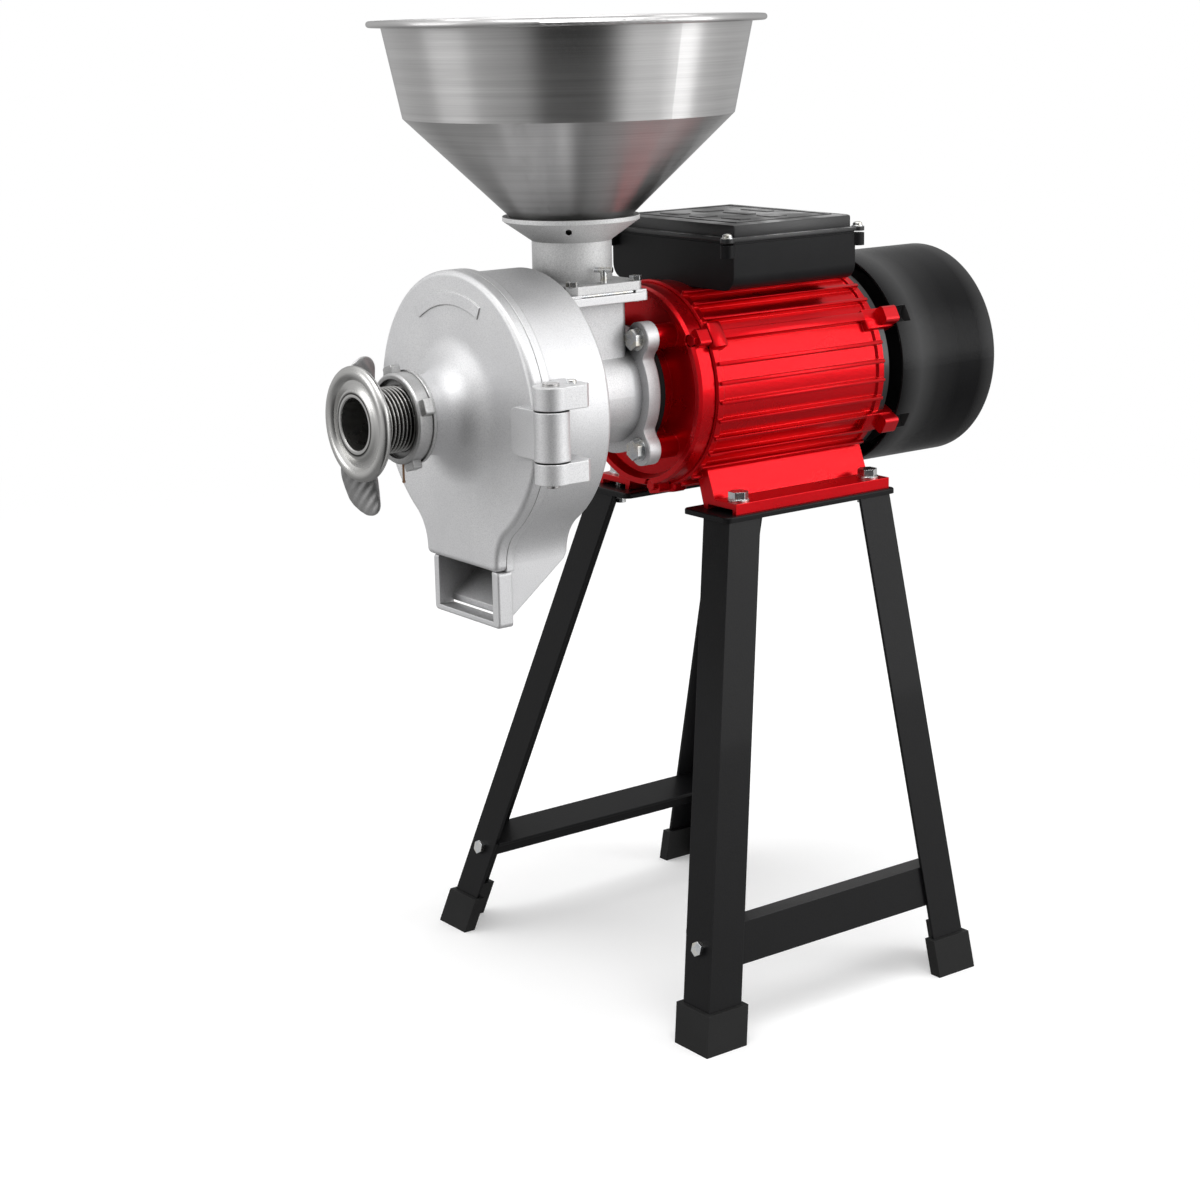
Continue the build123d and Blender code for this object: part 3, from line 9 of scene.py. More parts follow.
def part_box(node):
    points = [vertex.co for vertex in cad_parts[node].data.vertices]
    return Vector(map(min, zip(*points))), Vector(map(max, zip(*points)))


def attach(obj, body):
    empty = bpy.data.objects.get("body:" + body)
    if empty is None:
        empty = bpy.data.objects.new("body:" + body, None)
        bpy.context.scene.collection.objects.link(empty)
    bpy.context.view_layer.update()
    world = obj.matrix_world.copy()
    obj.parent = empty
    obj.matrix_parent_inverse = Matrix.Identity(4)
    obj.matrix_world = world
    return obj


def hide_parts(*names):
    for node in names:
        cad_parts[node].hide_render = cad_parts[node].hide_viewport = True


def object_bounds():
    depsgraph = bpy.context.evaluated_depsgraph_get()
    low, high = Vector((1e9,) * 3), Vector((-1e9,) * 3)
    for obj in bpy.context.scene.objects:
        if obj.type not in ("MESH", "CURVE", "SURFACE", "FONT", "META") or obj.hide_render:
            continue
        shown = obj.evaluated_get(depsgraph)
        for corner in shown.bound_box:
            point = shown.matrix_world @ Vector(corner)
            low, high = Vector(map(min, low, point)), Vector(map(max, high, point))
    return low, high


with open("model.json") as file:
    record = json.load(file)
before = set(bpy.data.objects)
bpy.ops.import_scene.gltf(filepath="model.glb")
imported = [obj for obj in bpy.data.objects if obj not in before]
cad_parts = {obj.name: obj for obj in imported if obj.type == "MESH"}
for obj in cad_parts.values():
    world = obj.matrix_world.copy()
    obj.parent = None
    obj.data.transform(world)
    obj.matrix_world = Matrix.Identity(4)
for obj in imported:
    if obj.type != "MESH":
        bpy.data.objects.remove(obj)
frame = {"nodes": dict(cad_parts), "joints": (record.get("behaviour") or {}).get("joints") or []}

cad_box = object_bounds()

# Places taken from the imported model, in metres
joints = {joint["name"]: joint for joint in frame["joints"]}
shaft_z = joints["shaft_spin"]["pos_m"][2]
on_shaft = Vector((0, 0, shaft_z))
floor_z = cad_box[0].z
hopper_low, hopper_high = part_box("hopper")
hopper_axis = Vector(((hopper_low.x + hopper_high.x) / 2, (hopper_low.y + hopper_high.y) / 2, 0))
cover_front, cover_rear = (corner.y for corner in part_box("fan_cover"))

# Heights in metres between which the hopper's cone grows brighter
cone_foot, cone_clear = 0.568, 0.625

# Camera, fitted to the photograph
camera_place = Vector((1.3786, -1.07775, 0.7176))
camera_azimuth, camera_pitch, camera_roll = 53.57, 14.03, -1.23
camera_lens, camera_sensor = 72.72, 36.0

# Floor, and the distances from the middle between which it turns white
floor_size, floor_colour, floor_lift = 30, 0.80, 0.26
white_from, white_to = 0.9, 2.2

# What the metal mirrors: brightness by share of a turn, and by height from straight down to straight up
fill_level, ceiling_level = 0.78, 1.05
wall_levels = ((0.0, 0.40), (0.10, 0.55), (0.24, 0.58), (0.34, 0.62), (0.42, 0.45), (0.455, 0.06),
               (0.575, 0.07), (0.60, 0.55), (0.62, 1.10), (0.74, 0.95), (0.84, 0.62), (1.0, 0.40))
overhead_levels = ((0.0, 0.0), (0.72, 0.0), (0.90, 1.0))
below_levels = ((0.0, 0.46), (0.22, 0.40), (0.46, 1.0))

bevel_samples = 6    # rays that soften an edge in a finish

# Lamps: place, size and power
softboxes = {
    "right_softbox": ((1.5, 1.3, 1.0), (0.7, 1.4), 9),
    "left_softbox": ((-0.9, -1.9, 1.2), (1.2, 1.2), 8),
    "top_softbox": ((0.3, -0.2, 2.2), (1.4, 1.4), 20),
}

# From here on, millimetres from the shaft's axis and the door's face.
# A turned outline stays off its own axis by this gap.
axis_gap = 0.01

# Handwheel and hollow screw: its face is given from the bore's edge, its shoulder from the screw's crest
wheel_front, wheel_radius, wheel_bore = 81.2, 39.1, 17.7
rim_half_width, rim_half_depth = 4.6, 3.8
rim_from, rim_to, rim_step = -50, 180, 15
wheel_face = ((0.0, 6.0), (0.0, 1.6), (0.7, 0.9), (4.6, 0.9), (6.4, 1.8), (8.2, 2.9), (12.0, 3.1))
rim_back_inset, rim_back = 8.0, 8.4
wheel_shoulder = ((4.0, 8.0), (1.2, 8.6), (0.0, 9.6), (0.0, 10.6))
screw_root, screw_crest, thread_pitch = 20.7, 22.5, 3.0
thread_start, thread_front, thread_rear, thread_runout = 11.4, 70.5, 33.0, 1.0
ridge_sunk, ridge_foot, ridge_crest, thread_steps = 0.4, 1.25, 0.28, 64
plain_inset = 0.1
screw_end, screw_end_wall, bearing_recess, bearing_recess_depth = 16.0, 8.0, 17.2, 2.0

# Wing nut; shares run along a wing from its root to its tip
wing_hub_bore, wing_hub_radius, wing_hub_front, wing_hub_rear, wing_hub_steps = 4.1, 9.0, -8.5, 6.5, 48
wing_hub_chamfer = ((1.6, 0.0), (0.4, 0.9), (0.0, 2.5))
wing_half_span, wing_lean, wing_twist, wing_sweep = 61.0, 10.0, 62.0, 8.0
wing_root_share, wing_level_share, wing_round_share, wing_widest_share = 0.3, 0.25, 0.80, 0.55
wing_root_depth, wing_swell, wing_root_thickness, wing_thinning = 6.0, 7.6, 4.6, 2.2
wing_ridge_height, wing_ridge_pitch, wing_ridge_slant, wing_ridge_onset = 0.30, 9.0, 1.3, 3
wing_segments, wing_sharp = 72, 60.0

# Motor frame with its ribs, ears, rear lugs and feet
frame_front, frame_rear, frame_radius, frame_bore, frame_steps = 171.0, 331.0, 75.0, 66.0, 160
frame_chamfer, frame_border, panel_inset, panel_slope = 1.0, 6.0, 1.8, 1.5
panel = frame_radius - panel_inset
rib_top, rib_pitch, rib_width, rib_end_gap, rib_sunk, rib_round = 78.0, 10.4, 2.8, 2.0, 1.0, 0.7
side_rib_start, side_ribs, top_rib_start, top_ribs = 16.4, 9, 42.4, 3
ear_angles = (32.0, 148.0, -80.0)
ear_half_width, ear_length, ear_rise, ear_round = 10.0, 13.0, 2.0, 2.2
ear_rib_half_width, ear_rib_round = 3.5, 1.0
lug_angles = (30.0, 150.0, -30.0, -150.0)
lug_half_width, lug_root, lug_reach, lug_round = 8.0, 14.0, 12.5, 1.6
foot_base, foot_top, foot_front, foot_rear = -87.0, -79.0, 182.0, 330.0
foot_inner, foot_heel, foot_outer = 45.0, 57.0, 81.0
web_inner, web_outer, web_top = 33.5, 45.5, -50.0
foot_pad, foot_hollow = 4.0, 3.6

# Edge of the mill's flange against the motor
flange_front, flange_rear, flange_radius, flange_gap = 132.6, 143.0, 46.0, 0.2
flange_bolt_x, flange_bolt_z, flange_lobe = 33.6, 39.2, 12.0
lobe_spread, flange_points, flange_smoothing = pi / 3, 240, 3

# Capacitor box, lid and screws
box_half_x, box_front, box_rear, box_bottom, box_top = 70.0, 190.5, 305.0, 70.0, 103.0
box_corner, box_corner_step, gasket_inset = 11.0, 10, 0.5
box_lug_radius, box_lug_height, box_lug_inset, box_lug_outset, box_lug_steps = 5.0, 9.0, 2.0, 4.0, 32
lid_bottom, lid_lip_top, lid_top, lid_overhang, lid_lip_round = 104.5, 107.5, 116.5, 1.0, 0.6
crown_inset, crown_sunk, crown_round = 3.0, 2.0, 2.0
relief_inset, relief_width, relief_height, relief_sunk = 13.0, 1.6, 0.7, 0.6
relief_round, pad_round = 0.35, 0.5
lid_pads = ((-34, 19, 22, 12), (0, 18, 14, 16), (32, 22, 22, 10), (-34, 50, 14, 20),
            (0, 52, 28, 9), (34, 54, 16, 16), (-8, 76, 30, 8))    # middle x and y, width, depth
screw_head = ((axis_gap, 0.0), (4.2, 0.0), (4.2, 0.7), (3.5, 0.8), (3.5, 1.9), (2.9, 2.9), (1.6, 3.4),
              (axis_gap, 3.5))
screw_head_steps = 40

shaft_origin = Vector((0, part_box("adjusting_screw")[0].y + wheel_front / 1000, shaft_z))
to_model = Matrix.Translation(shaft_origin) @ Matrix.Scale(0.001, 4)
along_shaft = Matrix.Rotation(-pi / 2, 4, "X")    # lays a turned piece's heights along the shaft


def node(tree, kind, wires=None, **settings):
    """New node with its settings; each wire is a plain value or another node's output."""
    made = tree.nodes.new(kind)
    for name, value in settings.items():
        setattr(made, name, value)
    for name, value in (wires or {}).items():
        if isinstance(value, bpy.types.NodeSocket):
            tree.links.new(value, made.inputs[name])
        else:
            made.inputs[name].default_value = value
    return made


def maths(tree, operation, *values):
    return node(tree, "ShaderNodeMath", dict(enumerate(values)), operation=operation).outputs[0]


def vector_maths(tree, operation, *values, output="Vector"):
    return node(tree, "ShaderNodeVectorMath", dict(enumerate(values)), operation=operation).outputs[output]


def spread(tree, mask, low, high):
    """Value that runs from low to high as a mask runs from 0 to 1."""
    return maths(tree, "MULTIPLY_ADD", mask, high - low, low)


def split(tree, vector):
    """The X, Y and Z of a vector."""
    return node(tree, "ShaderNodeSeparateXYZ", {0: vector}).outputs


def from_axis(tree, vector):
    """A vector laid flat across Z, and its length, which is the distance from the axis."""
    flat = vector_maths(tree, "MULTIPLY", vector, (1, 1, 0))
    return flat, vector_maths(tree, "LENGTH", flat, output="Value")


def ramp(tree, value, *stops):
    """Colour ramp; each stop is a place and a grey level or a colour."""
    made = node(tree, "ShaderNodeValToRGB", {"Fac": value})
    points = made.color_ramp.elements
    while len(points) < len(stops):
        points.new(0.5)
    for point, (place, colour) in zip(points, stops):
        point.position = place
        point.color = (*colour, 1) if isinstance(colour, tuple) else (colour, colour, colour, 1)
    return made.outputs["Color"]


def between(tree, value, low, high, **settings):
    """Share of the way that a value has gone from low to high."""
    wires = {"Value": value, "From Min": low, "From Max": high}
    return node(tree, "ShaderNodeMapRange", wires, **settings).outputs[0]


def mix(tree, share, first, second, kind="MIX"):
    """Two colours mixed; each is a tuple or another node's output."""
    first, second = (colour if isinstance(colour, bpy.types.NodeSocket) else (*colour, 1)
                     for colour in (first, second))
    return node(tree, "ShaderNodeMix", {0: share, 6: first, 7: second},
                data_type="RGBA", blend_type=kind).outputs[2]


def scaled(colour, factor, lift=0.0):
    """A colour made darker or lighter."""
    return tuple(value * factor + lift for value in colour)


def make_camera():
    turn = (Matrix.Rotation(radians(camera_azimuth), 3, "Z")
            @ Matrix.Rotation(radians(90 - camera_pitch), 3, "X")
            @ Matrix.Rotation(radians(camera_roll), 3, "Z"))
    camera = bpy.data.objects.new("camera", bpy.data.cameras.new("camera"))
    camera.location = camera_place
    camera.rotation_euler = turn.to_euler()
    camera.data.lens = camera_lens
    camera.data.sensor_width = camera_sensor
    bpy.context.scene.collection.objects.link(camera)
    bpy.context.scene.camera = camera


def make_floor():
    """Pale floor that keeps a soft shadow; mirrors see the studio's walls through it."""
    shape = bmesh.new()
    bmesh.ops.create_grid(shape, x_segments=1, y_segments=1, size=floor_size)
    bmesh.ops.translate(shape, verts=shape.verts, vec=(0, 0, floor_z))
    floor = bpy.data.objects.new("floor", bpy.data.meshes.new("floor"))
    shape.to_mesh(floor.data)
    shape.free()
    bpy.context.scene.collection.objects.link(floor)
    floor.visible_glossy = False
    material = bpy.data.materials.new("floor")
    material.use_nodes = True
    tree = material.node_tree
    tree.nodes.clear()
    seen = node(tree, "ShaderNodeLightPath").outputs["Is Camera Ray"]
    diffuse = node(tree, "ShaderNodeBsdfDiffuse", {"Color": (floor_colour, floor_colour, floor_colour, 1)})
    lift = node(tree, "ShaderNodeEmission", {"Strength": maths(tree, "MULTIPLY", seen, floor_lift)})
    both = node(tree, "ShaderNodeAddShader", {0: diffuse.outputs[0], 1: lift.outputs[0]})
    place = node(tree, "ShaderNodeTexCoord").outputs["Object"]
    distance = vector_maths(tree, "LENGTH", place, output="Value")
    far = between(tree, distance, white_from, white_to, interpolation_type="SMOOTHSTEP")
    white = node(tree, "ShaderNodeEmission", {"Strength": 1.0})
    shown = node(tree, "ShaderNodeMixShader",
                 {0: maths(tree, "MULTIPLY", far, seen), 1: both.outputs[0], 2: white.outputs[0]})
    node(tree, "ShaderNodeOutputMaterial", {"Surface": shown.outputs[0]})
    floor.data.materials.append(material)


def make_studio():
    """White room for the camera; soft light and dark walls for what the metal mirrors."""
    world = bpy.data.worlds.new("studio")
    bpy.context.scene.world = world
    world.use_nodes = True
    tree = world.node_tree
    tree.nodes.clear()
    direction = split(tree, node(tree, "ShaderNodeTexCoord").outputs["Generated"])
    azimuth = maths(tree, "ARCTAN2", direction["X"], maths(tree, "MULTIPLY", direction["Y"], -1.0))
    turns = maths(tree, "MULTIPLY_ADD", azimuth, 1 / (2 * pi), 0.5 - camera_azimuth / 360)
    height = spread(tree, direction["Z"], 0.5, 1.0)
    walls = ramp(tree, maths(tree, "FRACT", turns), *wall_levels)
    walls = mix(tree, 1.0, walls, ramp(tree, height, *below_levels), "MULTIPLY")
    room = mix(tree, ramp(tree, height, *overhead_levels), walls, (ceiling_level,) * 3)
    path = node(tree, "ShaderNodeLightPath").outputs
    sees = maths(tree, "MAXIMUM", path["Is Camera Ray"], path["Is Transmission Ray"])
    lit = mix(tree, sees, (fill_level,) * 3, (1.0, 1.0, 1.0))
    shown = mix(tree, path["Is Glossy Ray"], lit, room)
    background = node(tree, "ShaderNodeBackground", {"Color": shown})
    node(tree, "ShaderNodeOutputWorld", {"Surface": background.outputs[0]})


def make_lamps():
    """Soft rectangular lamps that face the motor's shaft."""
    for name, (place, size, power) in softboxes.items():
        light = bpy.data.lights.new(name, "AREA")
        light.shape = "RECTANGLE"
        light.size, light.size_y = size
        light.energy = power
        made = bpy.data.objects.new(name, light)
        made.location = place
        made.rotation_euler = (on_shaft - Vector(place)).to_track_quat("-Z", "Y").to_euler()
        bpy.context.scene.collection.objects.link(made)


def new_group(name, inputs, outputs):
    """Empty node group with its sockets, and what comes in through them."""
    group = bpy.data.node_groups.new(name, "ShaderNodeTree")
    for socket, kind, value in inputs:
        made = group.interface.new_socket(socket, in_out="INPUT", socket_type=kind)
        if value is not None:
            made.default_value = value
    for socket, kind in outputs:
        group.interface.new_socket(socket, in_out="OUTPUT", socket_type=kind)
    return group, node(group, "NodeGroupInput").outputs


def streak_group():
    """Fine lines that run round the pattern's Z axis, as a lathe or a belt leaves them."""
    group, given = new_group(
        "round_streaks",
        [("Vector", "NodeSocketVector", None), ("Fineness", "NodeSocketFloat", 900.0),
         ("Length", "NodeSocketFloat", 6.0)],
        [("Streak", "NodeSocketFloat"), ("Band", "NodeSocketFloat")])
    flat, radius = from_axis(group, given["Vector"])
    around = split(group, vector_maths(group, "NORMALIZE", flat))
    height = split(group, given["Vector"])["Z"]
    place = node(group, "ShaderNodeCombineXYZ", {
        "X": maths(group, "MULTIPLY", around["X"], given["Length"]),
        "Y": maths(group, "MULTIPLY", around["Y"], given["Length"]),
        "Z": maths(group, "MULTIPLY", maths(group, "ADD", height, radius), given["Fineness"])}).outputs[0]
    fine = node(group, "ShaderNodeTexNoise", {"Vector": place, "Scale": 1.0, "Detail": 4.0, "Roughness": 0.7})
    wide = node(group, "ShaderNodeTexNoise", {"Vector": place, "Scale": 0.18, "Detail": 2.0})
    node(group, "NodeGroupOutput", {"Streak": fine.outputs["Fac"], "Band": wide.outputs["Fac"]})
    return group


def grain_group():
    """Skin of a blasted casting or a moulding: fine pits, and soft patches of shade."""
    group, given = new_group(
        "cast_grain",
        [("Vector", "NodeSocketVector", None), ("Fineness", "NodeSocketFloat", 1400.0),
         ("Patches", "NodeSocketFloat", 14.0)],
        [("Height", "NodeSocketFloat"), ("Pits", "NodeSocketFloat"), ("Patch", "NodeSocketFloat")])
    vector = given["Vector"]
    pit_scale, pit_depth = 0.22, 0.35
    fine = node(group, "ShaderNodeTexNoise", {"Vector": vector, "Scale": given["Fineness"],
                                              "Detail": 3.0, "Roughness": 0.6}).outputs["Fac"]
    coarse = maths(group, "MULTIPLY", given["Fineness"], pit_scale)
    spots = node(group, "ShaderNodeTexVoronoi", {"Vector": vector, "Scale": coarse}).outputs["Distance"]
    pits = ramp(group, spots, (0.0, 1.0), (0.16, 0.0))
    patch = node(group, "ShaderNodeTexNoise", {"Vector": vector, "Scale": given["Patches"],
                                               "Detail": 4.0, "Roughness": 0.55}).outputs["Fac"]
    height = maths(group, "MULTIPLY_ADD", pits, -pit_depth, fine)
    node(group, "NodeGroupOutput", {"Height": height, "Pits": pits, "Patch": patch})
    return group


def edge_group():
    """White along sharp edges, where a finish wears or a blasted casting shines."""
    group, given = new_group("edge_wear", [("Width", "NodeSocketFloat", 0.001)],
                             [("Edge", "NodeSocketFloat")])
    rounded = node(group, "ShaderNodeBevel", {"Radius": given["Width"]}, samples=bevel_samples).outputs[0]
    plain = node(group, "ShaderNodeNewGeometry").outputs["Normal"]
    agree = vector_maths(group, "DOT_PRODUCT", rounded, plain, output="Value")
    node(group, "NodeGroupOutput", {"Edge": ramp(group, agree, (0.80, 1.0), (0.985, 0.0))})
    return group


groups = {"streaks": streak_group(), "grain": grain_group(), "edges": edge_group()}


class Finish:
    """A material under construction: object coordinates, shared groups and one shader."""

    def __init__(self, name, **constants):
        self.material = bpy.data.materials.new(name)
        self.material.use_nodes = True
        self.tree = self.material.node_tree
        self.tree.nodes.clear()
        self.place = node(self.tree, "ShaderNodeTexCoord").outputs["Object"]
        self.shader = node(self.tree, "ShaderNodeBsdfPrincipled")
        for socket, value in constants.items():
            self.shader.inputs[socket.replace("_", " ")].default_value = value
        node(self.tree, "ShaderNodeOutputMaterial", {"Surface": self.shader.outputs[0]})

    def use(self, group, **values):
        return node(self.tree, "ShaderNodeGroup", values, node_tree=groups[group]).outputs

    def skin(self, fineness, patches):
        """Grain over the piece."""
        return self.use("grain", Vector=self.place, Fineness=fineness, Patches=patches)

    def turned(self, centre, axis):
        """Object coordinates centred on a turned piece, with its axis laid along Z."""
        moved = node(self.tree, "ShaderNodeMapping",
                     {"Vector": self.place, "Location": [-value for value in centre]})
        spin = {"Z": (0, 0, 0), "Y": (pi / 2, 0, 0)}[axis]
        return node(self.tree, "ShaderNodeMapping", {"Vector": moved.outputs[0], "Rotation": spin}).outputs[0]

    def wire(self, **sockets):
        for name, value in sockets.items():
            self.tree.links.new(value, self.shader.inputs[name.replace("_", " ")])

    def bump(self, height, strength, distance, soft_edge=None):
        """Bump over a softened edge; the edge's radius is in metres."""
        wires = {"Height": height, "Strength": strength, "Distance": distance}
        if soft_edge:
            wires["Normal"] = node(self.tree, "ShaderNodeBevel", {"Radius": soft_edge},
                                   samples=bevel_samples).outputs[0]
        self.wire(Normal=node(self.tree, "ShaderNodeBump", wires).outputs[0])


def spun_steel():
    """Sheet brushed round the hopper's axis, darker towards the foot of its cone."""
    finish = Finish("spun_steel", Metallic=1.0, Anisotropic=0.9, Anisotropic_Rotation=0.25)
    lines = finish.use("streaks", Vector=finish.turned(hopper_axis, "Z"), Fineness=760.0, Length=0.9)
    tree = finish.tree
    band_share = 0.35
    shade = ramp(tree, lines["Streak"], (0.25, (0.60, 0.59, 0.585)), (0.5, (0.70, 0.69, 0.685)),
                 (0.75, (0.80, 0.795, 0.79)))
    banded = mix(tree, band_share, shade, ramp(tree, lines["Band"], (0.3, 0.50), (0.7, 0.85)))
    clear = between(tree, split(tree, finish.place)["Z"], cone_foot, cone_clear)
    # The cone's colour grows darker towards its foot.
    darker_towards_foot = ramp(tree, clear, (0.0, 0.45), (0.45, 0.80), (1.0, 1.0))
    around = node(tree, "ShaderNodeTangent", direction_type="RADIAL", axis="Z").outputs[0]
    finish.wire(Base_Color=mix(tree, 1.0, banded, darker_towards_foot, "MULTIPLY"),
                Roughness=spread(tree, lines["Streak"], 0.27, 0.43), Tangent=around)
    finish.bump(lines["Streak"], strength=0.12, distance=0.0003)
    return finish.material


def casting(name, light, dark, grain, rough, metallic=1.0):
    """Blasted aluminium or rough steel: satin grain, soft patches, brighter edges, painted shade in corners
    and hollows.
    """
    finish = Finish(name, Metallic=metallic)
    skin = finish.skin(grain, patches=16.0)
    edge = finish.use("edges", Width=0.0014)["Edge"]
    tree = finish.tree
    pit_share, edge_share, edge_polish, shine = 0.25, 0.55, 0.14, (0.93, 0.93, 0.93)
    shade = mix(tree, ramp(tree, skin["Patch"], (0.35, 0.0), (0.68, 1.0)), dark, light)
    speck = mix(tree, ramp(tree, skin["Height"], (0.40, 0.8), (0.56, 0.0)), shade, scaled(dark, 0.88))
    pitted = mix(tree, maths(tree, "MULTIPLY", skin["Pits"], pit_share), speck, scaled(dark, 0.55))
    worn = mix(tree, maths(tree, "MULTIPLY", edge, edge_share), pitted, shine)
    # Painted shade: ambient occlusion darkens the colour in corners, creases and hollows, where shade falls.
    sky = node(tree, "ShaderNodeAmbientOcclusion", {"Distance": 0.07}, samples=4).outputs["AO"]
    painted_corner_shade = ramp(tree, sky, (0.04, 0.12), (0.38, 0.62), (0.70, 1.0))
    roughness = spread(tree, skin["Patch"], rough, rough + 0.12)
    finish.wire(Base_Color=mix(tree, 1.0, worn, painted_corner_shade, "MULTIPLY"),
                Roughness=maths(tree, "MULTIPLY_ADD", edge, -edge_polish, roughness))
    finish.bump(skin["Height"], strength=0.32, distance=0.0004, soft_edge=0.0010)
    return finish.material


def turned_steel(name, centre, axis, colour=(0.70, 0.695, 0.68), groove=False):
    """Bright steel with turning marks round its axis, and painted shade in the thread's groove."""
    finish = Finish(name, Metallic=1.0)
    turned = finish.turned(centre, axis)
    lines = finish.use("streaks", Vector=turned, Fineness=2600.0, Length=1.2)
    smear = finish.skin(fineness=700.0, patches=40.0)["Patch"]
    tree = finish.tree
    smear_share, painted_groove_shade = 0.35, (0.03, 0.028, 0.026)
    shade = mix(tree, ramp(tree, lines["Streak"], (0.3, 0.0), (0.7, 1.0)), scaled(colour, 0.74), colour)
    clouded_and_groove_shade = mix(tree, maths(tree, "MULTIPLY", smear, smear_share), shade, scaled(colour, 0.8))
    if groove:
        # Painted shade: the thread's groove is darkened where shade falls between the ridges.
        clouded_and_groove_shade = mix(tree, groove_shade_share(tree, turned), clouded_and_groove_shade, painted_groove_shade)
    finish.wire(Base_Color=clouded_and_groove_shade, Roughness=spread(tree, smear, 0.18, 0.36))
    finish.bump(lines["Streak"], strength=0.10, distance=0.0002, soft_edge=0.0005)
    return finish.material


def groove_shade_share(tree, turned):
    """Share of painted shade by the distance from the screw's axis: none in the bore or on the crests."""
    in_bore, from_crest, from_root = 0.5, 0.2, 0.3
    radius = from_axis(tree, turned)[1]
    outside = maths(tree, "GREATER_THAN", radius, (screw_root - in_bore) / 1000)
    depth = between(tree, radius, (screw_crest - from_crest) / 1000, (screw_root + from_root) / 1000)
    return maths(tree, "MULTIPLY", outside, depth)


def shield_with_painted_shade():
    """Rear shield: black as painted shade in the gap before the fan cover, red on the lugs that reach out of
    it.
    """
    finish = Finish("shield_enamel", Roughness=0.3, Coat_Weight=0.1)
    tree = finish.tree
    clear, lug_metallic, black, red = 0.6, 0.7, (0.005, 0.005, 0.005), (0.56, 0.0005, 0.006)
    radius = from_axis(tree, finish.turned(on_shaft, "Y"))[1]
    # Painted shade: inside the frame's radius the shield is coloured black, where the gap before the fan cover
    # lies in shade.
    lug = maths(tree, "GREATER_THAN", radius, (frame_radius + clear) / 1000)
    finish.wire(Base_Color=mix(tree, lug, black, red), Metallic=maths(tree, "MULTIPLY", lug, lug_metallic))
    return finish.material


def zinc_plate():
    """Bright zinc plating with a faint blue and straw bloom."""
    finish = Finish("zinc_plate", Metallic=1.0)
    skin = finish.skin(fineness=900.0, patches=160.0)
    edge = finish.use("edges", Width=0.0006)["Edge"]
    tree = finish.tree
    edge_share, shine = 0.5, (0.92, 0.92, 0.92)
    bloom = ramp(tree, skin["Patch"], (0.3, (0.60, 0.63, 0.67)), (0.5, (0.74, 0.75, 0.75)),
                 (0.72, (0.76, 0.72, 0.62)))
    worn = mix(tree, maths(tree, "MULTIPLY", edge, edge_share), bloom, shine)
    finish.wire(Base_Color=worn, Roughness=spread(tree, skin["Patch"], 0.16, 0.36))
    finish.bump(skin["Height"], strength=0.15, distance=0.0002, soft_edge=0.0004)
    return finish.material


def enamel(name, colour, deep, edge_colour, rough, coat, peel, specular, metallic=0.0, painted_sheen=False):
    """Sprayed enamel: orange peel, thinner and lighter at its edges, with a painted reflection along the fan
    cover.
    """
    finish = Finish(name, Coat_Weight=coat, Coat_Roughness=0.06, Specular_IOR_Level=specular,
                    Metallic=metallic)
    skin = finish.skin(peel, patches=22.0)
    edge = finish.use("edges", Width=0.0012)["Edge"]
    tree = finish.tree
    edge_share = 0.6
    shade = mix(tree, ramp(tree, skin["Patch"], (0.35, 0.0), (0.65, 1.0)), deep, colour)
    thin_edges_and_sheen = mix(tree, maths(tree, "MULTIPLY", edge, edge_share), shade, edge_colour)
    if painted_sheen:
        # Painted reflection: lighter bands along the fan cover's length that stand in for the studio's
        # mirrored light.
        share = between(tree, split(tree, finish.place)["Y"], cover_front, cover_rear)
        painted_sheen_band = ramp(tree, share, (0.0, 0.001), (0.20, 0.045), (0.38, 0.012), (0.60, 0.001),
                      (0.82, 0.001), (0.97, 0.035))
        thin_edges_and_sheen = mix(tree, 1.0, thin_edges_and_sheen, painted_sheen_band, "ADD")
    finish.wire(Base_Color=thin_edges_and_sheen, Roughness=spread(tree, skin["Patch"], rough, rough + 0.14))
    finish.bump(skin["Height"], strength=0.22, distance=0.0005, soft_edge=0.0008)
    return finish.material


def moulding(name, colour, rough, fineness=2200.0, depth=0.25, specular=0.3, painted_top_highlight=False):
    """Moulded plastic or rubber with a fine even grain, and a mottled painted highlight where it faces up."""
    finish = Finish(name, Specular_IOR_Level=specular)
    skin = finish.skin(fineness, patches=30.0)
    edge = finish.use("edges", Width=0.0008)["Edge"]
    tree = finish.tree
    edge_share = 0.4
    lighter, rubbed_colour = scaled(colour, 1.6, lift=0.002), scaled(colour, 3, lift=0.008)
    shade = mix(tree, ramp(tree, skin["Patch"], (0.3, 0.0), (0.75, 1.0)), colour, lighter)
    rubbed_and_top_highlight = mix(tree, maths(tree, "MULTIPLY", edge, edge_share), shade, rubbed_colour)
    if painted_top_highlight:
        # Painted highlight: surfaces that face up get a lighter, mottled colour that stands in for light
        # mirrored from overhead.
        facing = split(tree, node(tree, "ShaderNodeNewGeometry").outputs["Normal"])["Z"]
        level = ramp(tree, facing, (0.80, 0.0), (0.97, 1.0))
        top_highlight_colour = ramp(tree, skin["Patch"], (0.36, 0.03), (0.48, 0.12), (0.62, 0.34))
        rubbed_and_top_highlight = mix(tree, level, rubbed_and_top_highlight, top_highlight_colour)
    finish.wire(Base_Color=rubbed_and_top_highlight, Roughness=spread(tree, skin["Patch"], rough, rough + 0.14))
    finish.bump(skin["Height"], depth, distance=0.0003, soft_edge=0.0007)
    return finish.material


